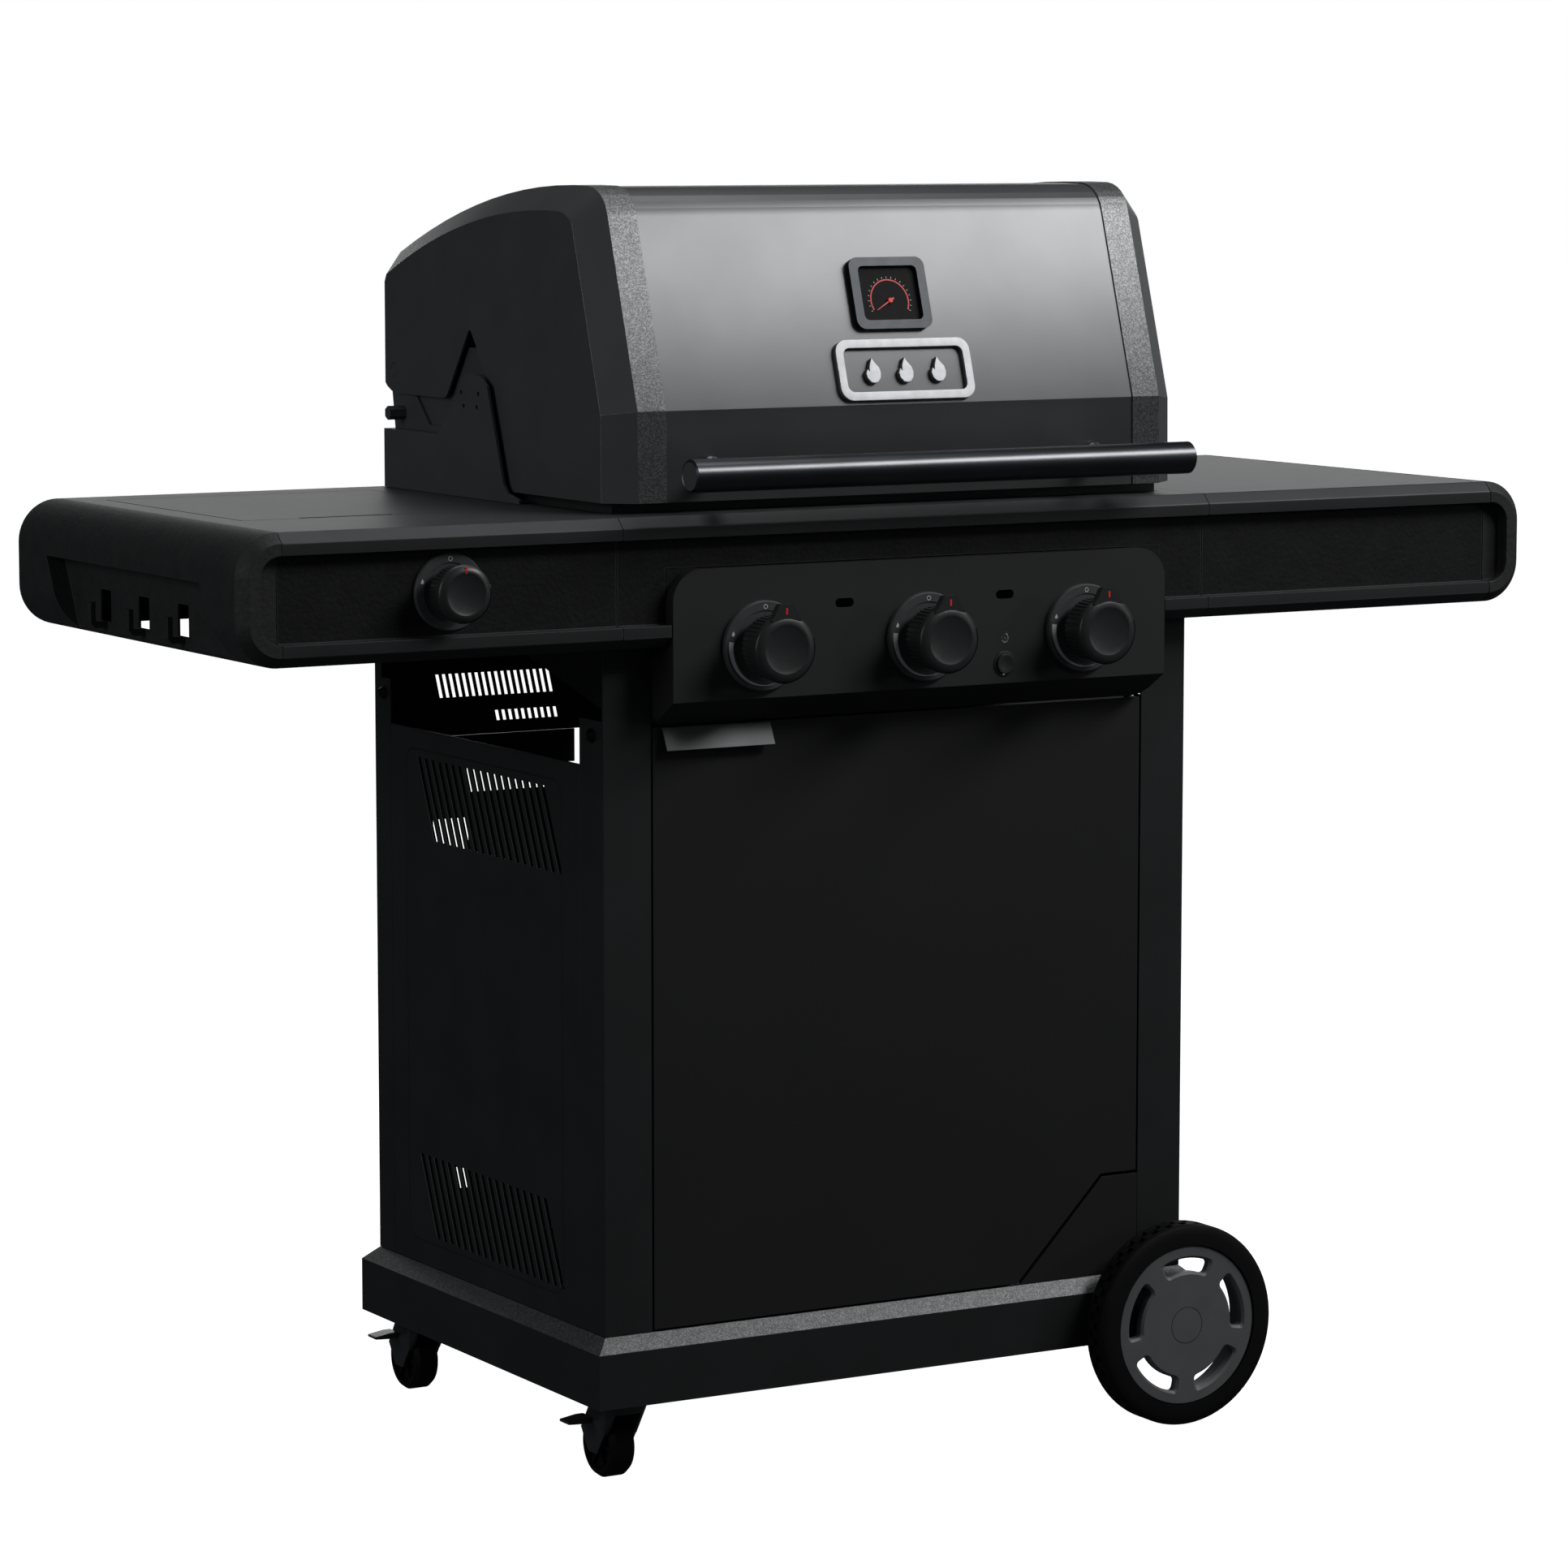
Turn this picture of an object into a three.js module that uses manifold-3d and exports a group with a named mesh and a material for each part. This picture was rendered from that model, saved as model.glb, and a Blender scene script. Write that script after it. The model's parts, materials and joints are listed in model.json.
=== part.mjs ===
// A gas barbecue grill on a closed cabinet cart: hinged hood, three main burners, a side burner
// under a flush lid, two large wheels on the right and two braked casters on the left.
// Millimetres, +Z up, the front faces -Y. The origin is on the floor, under the middle.
import * as THREE from 'three';
import { ConvexGeometry } from 'three/addons/geometries/ConvexGeometry.js';
import * as BufferGeometryUtils from 'three/addons/utils/BufferGeometryUtils.js';
import Module from 'manifold-3d';

const wasm = await Module();
wasm.setup();

// ---------------------------------------------------------------- driving dimensions

const gap = 0.3;
const sheet = 2.5;

const base = { halfWidth: 318, front: -221, rear: 257, bottom: 78, shoulder: 127.6, top: 140, chamfer: 13 };
const cabinet = { halfWidth: 305, front: -208, rear: 244, postTop: 751.3, doorHalf: 255.6, doorTop: 678 };
const post = { face: 47.6, sideFront: 44, sideRear: 33, shoulder: 686, neck: 14 };
const deck = {
  halfWidth: 666, front: -246.3, rear: 239.5, bottom: 751.6, top: 865.3,
  radius: 38, chamfer: 9, lip: 19.4, recess: 12, capWidth: 39, centreHalf: 305,
};
const panel = { halfWidth: 256.3, bottom: 703, top: 818.5, front: -246.6, rear: -209, underRear: 679.8 };
const knobs = { spacing: 167.3, z: 749.3, back: -257.5, front: -290, radius: 30, grip: 24.5 };
const sideKnob = { x: -466.5, z: 808.7, back: -242.5, front: -268, radius: 25, grip: 20 };
const lid = { left: -597, right: -336, front: -103, rear: 187 };
const firebox = { halfWidth: 284, front: -187, rear: 221, top: 880, ledge: 867.7, waist: 790, floor: 640 };
const hood = {
  skinHalf: 243, bandHalf: 271.3, sideHalf: 295.2, bevel: 22, front: -211.5, bottom: 874.5,
  rear: 254, rearBottom: 990, sheet: 2.5,
};
const pivot = { y: 214.9, z: 974.3, radius: 6 };
const handle = { y: -280, z: 902, radius: 14.6, halfLength: 258.3, post: 200 };
const gauge = {
  z: 1050.2, y: -180.1, lean: 17.5, width: 78.5, height: 66,
  frameWide: 8.7, frameTall: 8, proud: 6, hubDrop: 6.5,
};
const wheel = { x: 281.4, radius: 94.5, width: 30, rim: 75, web: 9, hub: 20, axle: 4, outerFace: 294.6 };
const caster = { x: -272, frontY: -176, rearY: 215, trail: 24, radius: 29.5, width: 24, pin: 3 };
const tray = { halfWidth: 90, front: -70, rear: 230, bottom: 586, top: 612 };

// ---------------------------------------------------------------- materials

function paint(color, roughness, metalness) {
  return new THREE.MeshStandardMaterial({ color, roughness, metalness });
}

const blackSteel = paint(0x232527, 0.55, 0.2);
const deckSteel = paint(0x3b3e41, 0.5, 0.2);
const doorSteel = paint(0x18191a, 0.7, 0.1);
const mouldedPlastic = paint(0x2b2d30, 0.7, 0);
const graphite = paint(0x55585b, 0.4, 0.6);
const hammered = paint(0x3a3c3e, 0.5, 0.5);
const tubeChrome = paint(0x6c6f73, 0.2, 0.9);
const castIron = paint(0x1f1f20, 0.8, 0.3);
const stainless = paint(0xa9abad, 0.35, 0.9);
const brass = paint(0xb08d4f, 0.35, 0.9);
const knobPlastic = paint(0x2f3133, 0.45, 0);
const rimPlastic = paint(0x47494b, 0.55, 0);
const tyrePlastic = paint(0x1b1b1c, 0.85, 0);
const red = paint(0xc8341f, 0.5, 0);

// ---------------------------------------------------------------- solids

function toSolid(geometry) {
  const bare = geometry.clone();
  bare.deleteAttribute('normal');
  bare.deleteAttribute('uv');
  const merged = BufferGeometryUtils.mergeVertices(bare, 1e-4);
  const vertProperties = new Float32Array(merged.attributes.position.array);
  const triVerts = new Uint32Array(merged.index.array);
  return new wasm.Manifold(new wasm.Mesh({ numProp: 3, vertProperties, triVerts }));
}

function toGeometry(solid) {
  const mesh = solid.getMesh();
  const geometry = new THREE.BufferGeometry();
  geometry.setAttribute('position', new THREE.BufferAttribute(mesh.vertProperties, 3));
  geometry.setIndex(new THREE.BufferAttribute(mesh.triVerts, 1));
  const flat = geometry.toNonIndexed();
  flat.computeVertexNormals();
  return flat;
}

function join(...solids) {
  return solids.reduce((sum, next) => sum.add(next));
}

function cut(solid, ...tools) {
  return tools.reduce((rest, tool) => rest.subtract(tool), solid);
}

// A box given by its low and high corners.
function box(x0, x1, y0, y1, z0, z1) {
  const geometry = new THREE.BoxGeometry(x1 - x0, y1 - y0, z1 - z0);
  geometry.translate((x0 + x1) / 2, (y0 + y1) / 2, (z0 + z1) / 2);
  return toSolid(geometry);
}

const along = {
  x: new THREE.Vector3(1, 0, 0),
  y: new THREE.Vector3(0, 1, 0),
  z: new THREE.Vector3(0, 0, 1),
};

function extrude(shape, depth, options = {}) {
  return new THREE.ExtrudeGeometry(shape, { depth, bevelEnabled: false, curveSegments: 6, ...options });
}

// A (y, z) outline drawn out along X.
function prismX(shape, x0, x1) {
  const geometry = extrude(shape, x1 - x0);
  geometry.applyMatrix4(new THREE.Matrix4().makeBasis(along.y, along.z, along.x));
  geometry.translate(x0, 0, 0);
  return toSolid(geometry);
}

// An (x, z) outline drawn out along Y, from y1 towards the front.
function prismY(shape, y0, y1, options) {
  const geometry = extrude(shape, y1 - y0, options);
  geometry.applyMatrix4(new THREE.Matrix4().makeBasis(along.x, along.z, along.y.clone().negate()));
  geometry.translate(0, y1, 0);
  return toSolid(geometry);
}

function outline(points) {
  return new THREE.Shape(points.map(([a, b]) => new THREE.Vector2(a, b)));
}

// A cylinder between two values on one axis; at gives its centre on the other two, in X, Y, Z order.
function rod(axis, radius, from, to, at, sides = 16) {
  const geometry = new THREE.CylinderGeometry(radius, radius, to - from, sides);
  const middle = (from + to) / 2;
  if (axis === 'x') {
    geometry.rotateZ(Math.PI / 2);
    geometry.translate(middle, at[0], at[1]);
  }
  if (axis === 'y') {
    geometry.translate(at[0], middle, at[1]);
  }
  if (axis === 'z') {
    geometry.rotateX(Math.PI / 2);
    geometry.translate(at[0], at[1], middle);
  }
  return toSolid(geometry);
}

// A ring or disc turned about a line along Y; the profile is [radius, y] pairs.
function turnedY(profile, x, z, segments) {
  const points = profile.map(([radius, y]) => new THREE.Vector2(radius, y));
  const geometry = new THREE.LatheGeometry(points, segments);
  geometry.translate(x, 0, z);
  return toSolid(geometry);
}

function hull(points) {
  return toSolid(new ConvexGeometry(points.map((point) => new THREE.Vector3(...point))));
}

// The four corners of a level rectangle, for a hull.
function ring(x0, x1, y0, y1, z) {
  return [[x0, y0, z], [x1, y0, z], [x1, y1, z], [x0, y1, z]];
}

// A closed outline of even thickness to the left of an open run of points.
function folded(points, thickness) {
  const run = points.map(([a, b]) => new THREE.Vector2(a, b));
  const normals = [];
  for (let i = 0; i + 1 < run.length; i += 1) {
    const step = run[i + 1].clone().sub(run[i]).normalize();
    normals.push(new THREE.Vector2(-step.y, step.x));
  }
  const inner = run.map((point, i) => {
    const before = normals[Math.max(i - 1, 0)];
    const after = normals[Math.min(i, normals.length - 1)];
    const mitre = before.clone().add(after);
    mitre.multiplyScalar(2 * thickness / mitre.lengthSq());
    return point.clone().add(mitre);
  });
  return new THREE.Shape([...run, ...inner.reverse()]);
}

function roundedRectangle(x0, x1, z0, z1, radii) {
  const [bottomLeft, bottomRight, topRight, topLeft] = radii;
  const shape = new THREE.Shape();
  shape.moveTo(x0 + bottomLeft, z0);
  shape.lineTo(x1 - bottomRight, z0);
  shape.absarc(x1 - bottomRight, z0 + bottomRight, bottomRight, -Math.PI / 2, 0);
  shape.lineTo(x1, z1 - topRight);
  shape.absarc(x1 - topRight, z1 - topRight, topRight, 0, Math.PI / 2);
  shape.lineTo(x0 + topLeft, z1);
  shape.absarc(x0 + topLeft, z1 - topLeft, topLeft, Math.PI / 2, Math.PI);
  shape.lineTo(x0, z0 + bottomLeft);
  shape.absarc(x0 + bottomLeft, z0 + bottomLeft, bottomLeft, Math.PI, 1.5 * Math.PI);
  return shape;
}

const grill = new THREE.Group();

function addPart(name, solid, material) {
  const mesh = new THREE.Mesh(toGeometry(solid), material);
  mesh.name = name;
  grill.add(mesh);
}

function mirrored(solid) {
  const geometry = toGeometry(solid);
  geometry.scale(-1, 1, 1);
  const position = geometry.attributes.position;
  for (let i = 0; i < position.count; i += 3) {
    const first = new THREE.Vector3().fromBufferAttribute(position, i);
    const second = new THREE.Vector3().fromBufferAttribute(position, i + 1);
    position.setXYZ(i, second.x, second.y, second.z);
    position.setXYZ(i + 1, first.x, first.y, first.z);
  }
  return toSolid(geometry);
}

// ---------------------------------------------------------------- base and cabinet

function basePlinth() {
  const { halfWidth: w, front, rear, bottom, shoulder, top, chamfer: c } = base;
  const shell = hull([
    ...ring(-w, w, front, rear, bottom),
    ...ring(-w, w, front, rear, shoulder),
    ...ring(-w + c, w - c, front + c, rear - c, top),
  ]);
  const t = sheet;
  const hollow = hull([
    ...ring(-w + t, w - t, front + t, rear - t, bottom - 1),
    ...ring(-w + t, w - t, front + t, rear - t, shoulder - 1),
    ...ring(-w + c + t, w - c - t, front + c + t, rear - c - t, top - t),
  ]);
  const casterBeam = box(-w + 1, -w + 86, front + 1, rear - 1, bottom, bottom + 4);
  const axleHole = rod('y', wheel.axle + 0.5, front - 1, rear + 1, [wheel.x, wheel.radius]);
  return cut(join(cut(shell, hollow), casterBeam), axleHole);
}

// A corner post is an angle: one leg on the cabinet's face and one on its side.
function cornerPost(side, end) {
  const outerX = side * cabinet.halfWidth;
  const innerX = side * (cabinet.halfWidth - (end === 'front' ? post.face : post.sideRear));
  const faceY = end === 'front' ? cabinet.front : cabinet.rear;
  const depth = end === 'front' ? post.sideFront : -post.sideRear;
  const bottom = base.top + gap;
  const spanX = [outerX, innerX].sort((a, b) => a - b);
  const skinX = [outerX, outerX - side * sheet].sort((a, b) => a - b);
  const legY = [faceY, faceY + depth].sort((a, b) => a - b);
  const skinY = [faceY, faceY + Math.sign(depth) * sheet].sort((a, b) => a - b);
  const face = box(...spanX, ...skinY, bottom, cabinet.postTop);
  const flank = box(...skinX, ...legY, bottom, post.shoulder);
  const neckY = [faceY, faceY + Math.sign(depth) * post.neck].sort((a, b) => a - b);
  const neck = box(...skinX, ...neckY, bottom, cabinet.postTop);
  return end === 'rear' ? join(face, flank, neck) : join(face, flank);
}

// The upper hinge ear of the door is folded back from the right front post.
const doorAxis = { x: 245.6, y: -201.5, pin: 3 };

function hingeEar(z, right) {
  const plate = box(doorAxis.x - 7, right, cabinet.front + 0.5, doorAxis.y + 8, z, z + 3);
  return cut(plate, rod('z', doorAxis.pin + 0.4, z - 1, z + 4, [doorAxis.x, doorAxis.y], 12));
}

// Slanted vents, in a row along Y, that lean towards the front as they go down.
function ventRow(x0, x1, firstY, low, high, count) {
  const pitch = 13.67;
  const width = 6.5;
  const slant = 34;
  const tools = [];
  for (let i = 0; i < count; i += 1) {
    const y = firstY - i * pitch;
    const slot = outline([[y, high], [y - slant, low], [y - slant + width, low], [y + width, high]]);
    tools.push(prismX(slot, x0, x1));
  }
  return join(...tools);
}

function sidePanel() {
  const outer = cabinet.halfWidth;
  const skin = box(
    -outer, -outer + sheet, cabinet.front + post.sideFront + gap, cabinet.rear - post.sideRear - gap,
    base.top + gap, 644.5,
  );
  const vents = [[543, 618.5], [169.3, 245.6]];
  const rows = vents.map(([low, high]) => ventRow(-outer - 1, -outer + sheet + 1, 148.8, low, high, 19));
  return cut(skin, ...rows);
}

const rearInner = cabinet.halfWidth - post.sideRear - gap;

// The lower panel rises on both sides of the grease tray's way out, over a pair of windows.
function rearPanelLower() {
  const skin = box(-rearInner, rearInner, cabinet.rear - sheet, cabinet.rear, base.top + gap, 625 - gap);
  const windows = box(-210, 210, cabinet.rear - 9, cabinet.rear + 9, 570, 593);
  const wayOut = box(-tray.halfWidth - 4, tray.halfWidth + 4, cabinet.rear - 9, cabinet.rear + 9, 592, 626);
  const hoseHole = box(-246, -208, cabinet.rear - 9, cabinet.rear + 9, 512, 546);
  const wiringHole = box(-225, -211, cabinet.rear - 9, cabinet.rear + 9, 188, 209);
  return cut(skin, windows, wayOut, hoseHole, wiringHole);
}

// Two rows of narrow slots on each side; they lean away from the middle as they rise.
function rearPanelUpper() {
  const skin = box(-rearInner, rearInner, cabinet.rear - sheet, cabinet.rear, 625, cabinet.postTop);
  const pitch = 6.9;
  const width = 4.2;
  const slots = [];
  for (const [low, high, first] of [[637, 647, 8], [661.5, 684, 0]]) {
    for (let i = first; i < 18; i += 1) {
      const x = -246 + i * pitch + (700 - high) * 0.21;
      const lean = (high - low) * 0.21;
      const slot = outline([[x + lean, low], [x + lean + width, low], [x + width, high], [x, high]]);
      const tool = prismY(slot, cabinet.rear - 9, cabinet.rear + 9);
      slots.push(tool, tool.mirror([1, 0, 0]));
    }
  }
  return cut(skin, ...slots);
}

// The door is a shallow pan with its lower right corner cut away on a slant.
const doorBottom = base.top + 1.8;
const doorCorner = { x0: 125.4, x1: 216.7, z: 235.6 };

function doorOutline(inset) {
  const lean = inset * 0.42;
  return outline([
    [-cabinet.doorHalf + inset, doorBottom + inset],
    [doorCorner.x0 - lean, doorBottom + inset],
    [doorCorner.x1 - lean, doorCorner.z + inset],
    [cabinet.doorHalf - inset, doorCorner.z + inset],
    [cabinet.doorHalf - inset, cabinet.doorTop - inset],
    [-cabinet.doorHalf + inset, cabinet.doorTop - inset],
  ]);
}

function door() {
  const depth = 18;
  const pan = prismY(doorOutline(0), cabinet.front, cabinet.front + depth);
  const hollow = prismY(doorOutline(sheet), cabinet.front + sheet, cabinet.front + depth + 1);
  const hub = box(doorAxis.x - 5, cabinet.doorHalf - 1, cabinet.front + 1, doorAxis.y + 5, 0, 12);
  const lowerHub = hub.translate([0, 0, doorCorner.z + 1]);
  const upperHub = hub.translate([0, 0, cabinet.doorTop - 13]);
  const at = [doorAxis.x, doorAxis.y];
  const lowerPin = rod('z', doorAxis.pin, doorCorner.z - 8, doorCorner.z + 3, at, 12);
  const upperPin = rod('z', doorAxis.pin, cabinet.doorTop - 3, cabinet.doorTop + 8, at, 12);
  return join(cut(pan, hollow), lowerHub, upperHub, lowerPin, upperPin);
}

// The pull is a lip that leans out from the door's face at the top left corner.
function doorHandle() {
  const face = cabinet.front - gap;
  const lip = outline([[face, 677.5], [face - 9, 657.4], [face - 10.5, 658.1], [face - 1.6, 677.5]]);
  return prismX(lip, -246.9, -138);
}

function cornerPanel() {
  const right = cabinet.halfWidth - post.face - gap;
  const face = outline([[128.4, base.top + gap], [right, base.top + gap], [right, 232.6], [218, 232.6]]);
  const skin = prismY(face, cabinet.front, cabinet.front + sheet);
  return join(skin, hingeEar(228, right));
}

// ---------------------------------------------------------------- console and side shelves

// The whole console as one rounded bar with chamfered front and rear edges, inset all round.
function consoleBar(inset) {
  const { halfWidth: w, front, rear, bottom, top, radius, chamfer } = deck;
  const size = inset + chamfer;
  const r = radius - size;
  const shape = roundedRectangle(-w + size, w - size, bottom + size, top - size, [r, r, r, r]);
  const bevel = { bevelEnabled: true, bevelThickness: chamfer, bevelSize: chamfer, bevelSegments: 1 };
  return prismY(shape, front + size, rear - size, bevel);
}

function fasciaPocket(grow) {
  const { halfWidth: w, bottom, top, lip, radius, front, recess } = deck;
  const r = radius - lip + grow;
  const edge = lip - grow;
  const shape = roundedRectangle(-w + edge, w - edge, bottom + edge, top - edge, [r, r, r, r]);
  return prismY(shape, front - 1, front + recess + grow);
}

// The tool-hook recess in the outer face of the left end cap: a slanted bay, open below.
const hooks = { depth: 17, top: 819.5, y: [73, -10, -93.5] };

function hookBay(grow) {
  const high = hooks.top + grow;
  const low = deck.bottom - 1;
  const bay = outline([[-212 - grow, low], [131 + grow, low], [166 + grow, high], [-165 - grow, high]]);
  return prismX(bay, -deck.halfWidth - 1, -deck.halfWidth + hooks.depth + grow);
}

function toolHook(y) {
  const x = -deck.halfWidth;
  const bend = outline([
    [x + 18, 762], [x + 5, 762], [x + 1, 767], [x + 1, 785],
    [x + 5.5, 785], [x + 5.5, 769], [x + 7.5, 767], [x + 18, 767],
  ]);
  return prismY(bend, y - 4, y + 4);
}

function consoleShell() {
  const body = cut(consoleBar(0), fasciaPocket(0));
  const cavity = cut(consoleBar(sheet), fasciaPocket(sheet));
  return cut(body, cavity);
}

const shell = consoleShell();

function shellSlice(x0, x1) {
  const slab = box(x0, x1, deck.front - 5, deck.rear + 5, deck.bottom - 5, deck.top + 5);
  return shell.intersect(slab);
}

// Everything but a 25 mm flange is open under the shelves and the centre.
function underside(x0, x1) {
  return box(x0, x1, deck.front + 25, deck.rear - 25, deck.bottom - 2, deck.bottom + 12);
}

const capInner = deck.halfWidth - deck.capWidth;

function endCapLeft() {
  const slab = box(-700, -capInner - gap / 2, deck.front - 5, deck.rear + 5, deck.bottom - 5, deck.top + 5);
  const body = cut(consoleBar(0), fasciaPocket(0), hookBay(0)).intersect(slab);
  const cavity = cut(consoleBar(sheet), fasciaPocket(sheet), hookBay(sheet));
  const windows = hooks.y.map((y) => box(-655, -640, y - 11.5, y + 11.5, 767.5, 795));
  return join(cut(body, cavity, ...windows), ...hooks.y.map(toolHook));
}

function endCapRight() {
  return shellSlice(capInner + gap / 2, 700);
}

function shelfLeft() {
  const x0 = -capInner + gap / 2;
  const x1 = -deck.centreHalf - gap / 2;
  const lidHole = box(
    lid.left - 1.2, lid.right + 1.2, lid.front - 1.2, lid.rear + 1.2, deck.top - 9, deck.top + 1,
  );
  const stemHole = rod('y', 6, deck.front - 1, deck.front + 20, [sideKnob.x, sideKnob.z]);
  return cut(shellSlice(x0, x1), underside(x0 - 1, x1 + 1), lidHole, stemHole);
}

function shelfRight() {
  const x0 = deck.centreHalf + gap / 2;
  const x1 = capInner - gap / 2;
  return cut(shellSlice(x0, x1), underside(x0 - 1, x1 + 1));
}

function consoleCentre() {
  const x1 = deck.centreHalf - gap / 2;
  const fireHole = box(
    -firebox.halfWidth - 3, firebox.halfWidth + 3, firebox.front - 3, firebox.rear + 3,
    deck.top - 9, deck.top + 1,
  );
  const panelHole = box(
    -panel.halfWidth - 0.9, panel.halfWidth + 0.9, deck.front - 1, panel.rear + 2,
    deck.bottom - 2, panel.top + 0.7,
  );
  return cut(shellSlice(-x1, x1), underside(-x1 - 1, x1 + 1), fireHole, panelHole);
}

// ---------------------------------------------------------------- control panel and gas train

const burnerX = [-knobs.spacing, 0, knobs.spacing];

function obround(x, z, halfLength, radius) {
  const shape = new THREE.Shape();
  shape.moveTo(x - halfLength, z - radius);
  shape.lineTo(x + halfLength, z - radius);
  shape.absarc(x + halfLength, z, radius, -Math.PI / 2, Math.PI / 2);
  shape.lineTo(x - halfLength, z + radius);
  shape.absarc(x - halfLength, z, radius, Math.PI / 2, 1.5 * Math.PI);
  return shape;
}

function panelSection(inset, back) {
  const { bottom, top, front, rear, underRear } = panel;
  return outline([
    [rear + back, underRear + inset], [front + inset, bottom + inset * 0.6],
    [front + inset, top - inset], [rear + back, top - inset],
  ]);
}

// A box open to the rear: a face plate with rounded corners, cheeks and a sloping underside.
function controlPanel() {
  const { halfWidth: w, top, front, rear, underRear } = panel;
  const plate = prismY(roundedRectangle(-w, w, underRear, top, [10, 10, 28, 28]), front, rear);
  const body = plate.intersect(prismX(panelSection(0, 0), -w, w));
  const inner = prismY(
    roundedRectangle(-w + sheet, w - sheet, underRear, top - sheet, [10, 10, 26, 26]),
    front + sheet, rear + 1,
  );
  const cavity = inner.intersect(prismX(panelSection(sheet, 1), -w + sheet, w - sheet));
  const stemHoles = burnerX.map((x) => rod('y', 6, front - 1, front + 9, [x, knobs.z]));
  const ports = [-83.6, 83.6].map((x) => prismY(obround(x, 783, 5.5, 4), front - 1, front + 9));
  const igniterHole = rod('y', 10, front - 1, front + 9, [83.6, 720.4], 24);
  return cut(body, cavity, ...stemHoles, ...ports, igniterHole);
}

const pipe = { y: -214, z: knobs.z, radius: 7, left: -236, right: 250 };

function valveBody(x, z) {
  const block = box(x - 10, x + 10, pipe.y - 12, pipe.y + 11, z - 10, z + 10);
  const nozzle = rod('y', 4, pipe.y + 10, pipe.y + 17, [x, z], 8);
  return join(block, nozzle);
}

function stemBore(x, z) {
  return rod('y', 4.4, pipe.y - 13, pipe.y - 2, [x, z], 12);
}

function gasManifold() {
  const tube = rod('x', pipe.radius, pipe.left, pipe.right, [pipe.y, pipe.z], 12);
  const inlet = rod('x', 9, pipe.right - 8, pipe.right + 2, [pipe.y, pipe.z], 6);
  const clamps = [-225, 225].map((x) => box(x - 8, x + 8, pipe.y - 3, firebox.front - gap, pipe.z - 3, 800));
  const body = join(tube, inlet, ...clamps, ...burnerX.map((x) => valveBody(x, pipe.z)));
  return cut(body, ...burnerX.map((x) => stemBore(x, pipe.z)));
}

// The side burner's feed leaves the manifold's left end, rises behind the panel and runs left.
function sideSupplyTube() {
  const route = new THREE.CatmullRomCurve3([
    new THREE.Vector3(pipe.left - 4 * gap, pipe.y, pipe.z),
    new THREE.Vector3(pipe.left - 4, pipe.y + 0.6, pipe.z + 0.2),
    new THREE.Vector3(pipe.left - 8, -203, 762),
    new THREE.Vector3(-264, -199, 786),
    new THREE.Vector3(-330, -199, 792),
    new THREE.Vector3(-420, -199, 794),
    new THREE.Vector3(-450, -206, 802),
    new THREE.Vector3(sideKnob.x + 6, pipe.y, sideKnob.z),
  ], false, 'centripetal');
  const circle = new THREE.Shape().absarc(0, 0, 3.5, 0, 2 * Math.PI);
  const options = { steps: 36, bevelEnabled: false, extrudePath: route, curveSegments: 4 };
  const tube = toSolid(new THREE.ExtrudeGeometry(circle, options));
  return cut(join(tube, valveBody(sideKnob.x, sideKnob.z)), stemBore(sideKnob.x, sideKnob.z));
}

function valveStem(x, z, tip) {
  return rod('y', 4, tip, pipe.y - 8, [x, z], 12);
}

// A knob is a knurled grip with a wider collar in front, dished in the middle.
function knob(x, z, size, pointer) {
  const collarBack = size.front + 14;
  const grip = rod('y', size.grip, collarBack - 1, size.back, [x, z], 24);
  const collar = rod('y', size.radius, size.front, collarBack, [x, z], 32);
  const dish = rod('y', size.radius - 8.5, size.front - 1, size.front + 3, [x, z], 32);
  const bore = rod('y', 4.3, size.back - 14, size.back + 1, [x, z], 12);
  const solid = cut(join(grip, collar), dish, bore);
  return pointer ? join(solid, box(x - 8, x + 8, size.front, collarBack, z + 24, z + 40)) : solid;
}

function igniterButton() {
  return rod('y', 9.4, -249.4, -236, [83.6, 720.4], 24);
}

// ---------------------------------------------------------------- firebox and burners

function fireboxTub() {
  const { halfWidth: w, front, rear, top, ledge, waist, floor } = firebox;
  const outer = hull([
    ...ring(-w, w, front, rear, top),
    ...ring(-w, w, front, rear, waist),
    ...ring(-110, 110, -60, 110, floor),
  ]);
  const mouth = box(-w + 3, w - 3, front + 3, rear - 3, ledge, top + 1);
  const bowl = hull([
    ...ring(-w + 12, w - 12, front + 12, rear - 12, ledge + 1),
    ...ring(-w + 4, w - 4, front + 4, rear - 4, ledge - 8),
    ...ring(-w + 4, w - 4, front + 4, rear - 4, waist),
    ...ring(-106, 106, -56, 106, floor + 3),
  ]);
  const drain = box(-60, 60, -10, 80, floor - 1, floor + 5);
  const ports = burnerX.map((x) => rod('y', 13.3, front - 1, front + 60, [x, knobs.z]));
  const tub = cut(outer, mouth, bowl, drain, ...ports);
  const rails = [-1, 1].map((side) => {
    const near = tray.halfWidth + 1;
    const web = [side * near, side * (near + sheet)].sort((a, b) => a - b);
    const lip = [side * (near - 9), side * (near + 1)].sort((a, b) => a - b);
    const hanger = box(...web, -60, 180, tray.bottom - gap - sheet, floor + 1);
    return join(hanger, box(...lip, -60, 180, tray.bottom - gap - sheet, tray.bottom - gap));
  });
  const baffle = box(-270, 270, rear - 0.5, rear + 2, deck.top + gap, 985);
  return join(tub, baffle, ...rails);
}

function burner(x) {
  const tube = rod('y', 12, -195, 175, [x, knobs.z], 16);
  const mouth = rod('y', 9, -196, -150, [x, knobs.z], 12);
  return cut(tube, mouth);
}

function flameTamer() {
  const peaks = [];
  for (let i = -3; i <= 3; i += 1) {
    peaks.push([i * knobs.spacing / 2, i % 2 === 0 ? 800 : 826]);
  }
  return prismY(folded(peaks, 2), -145, 180);
}

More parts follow.
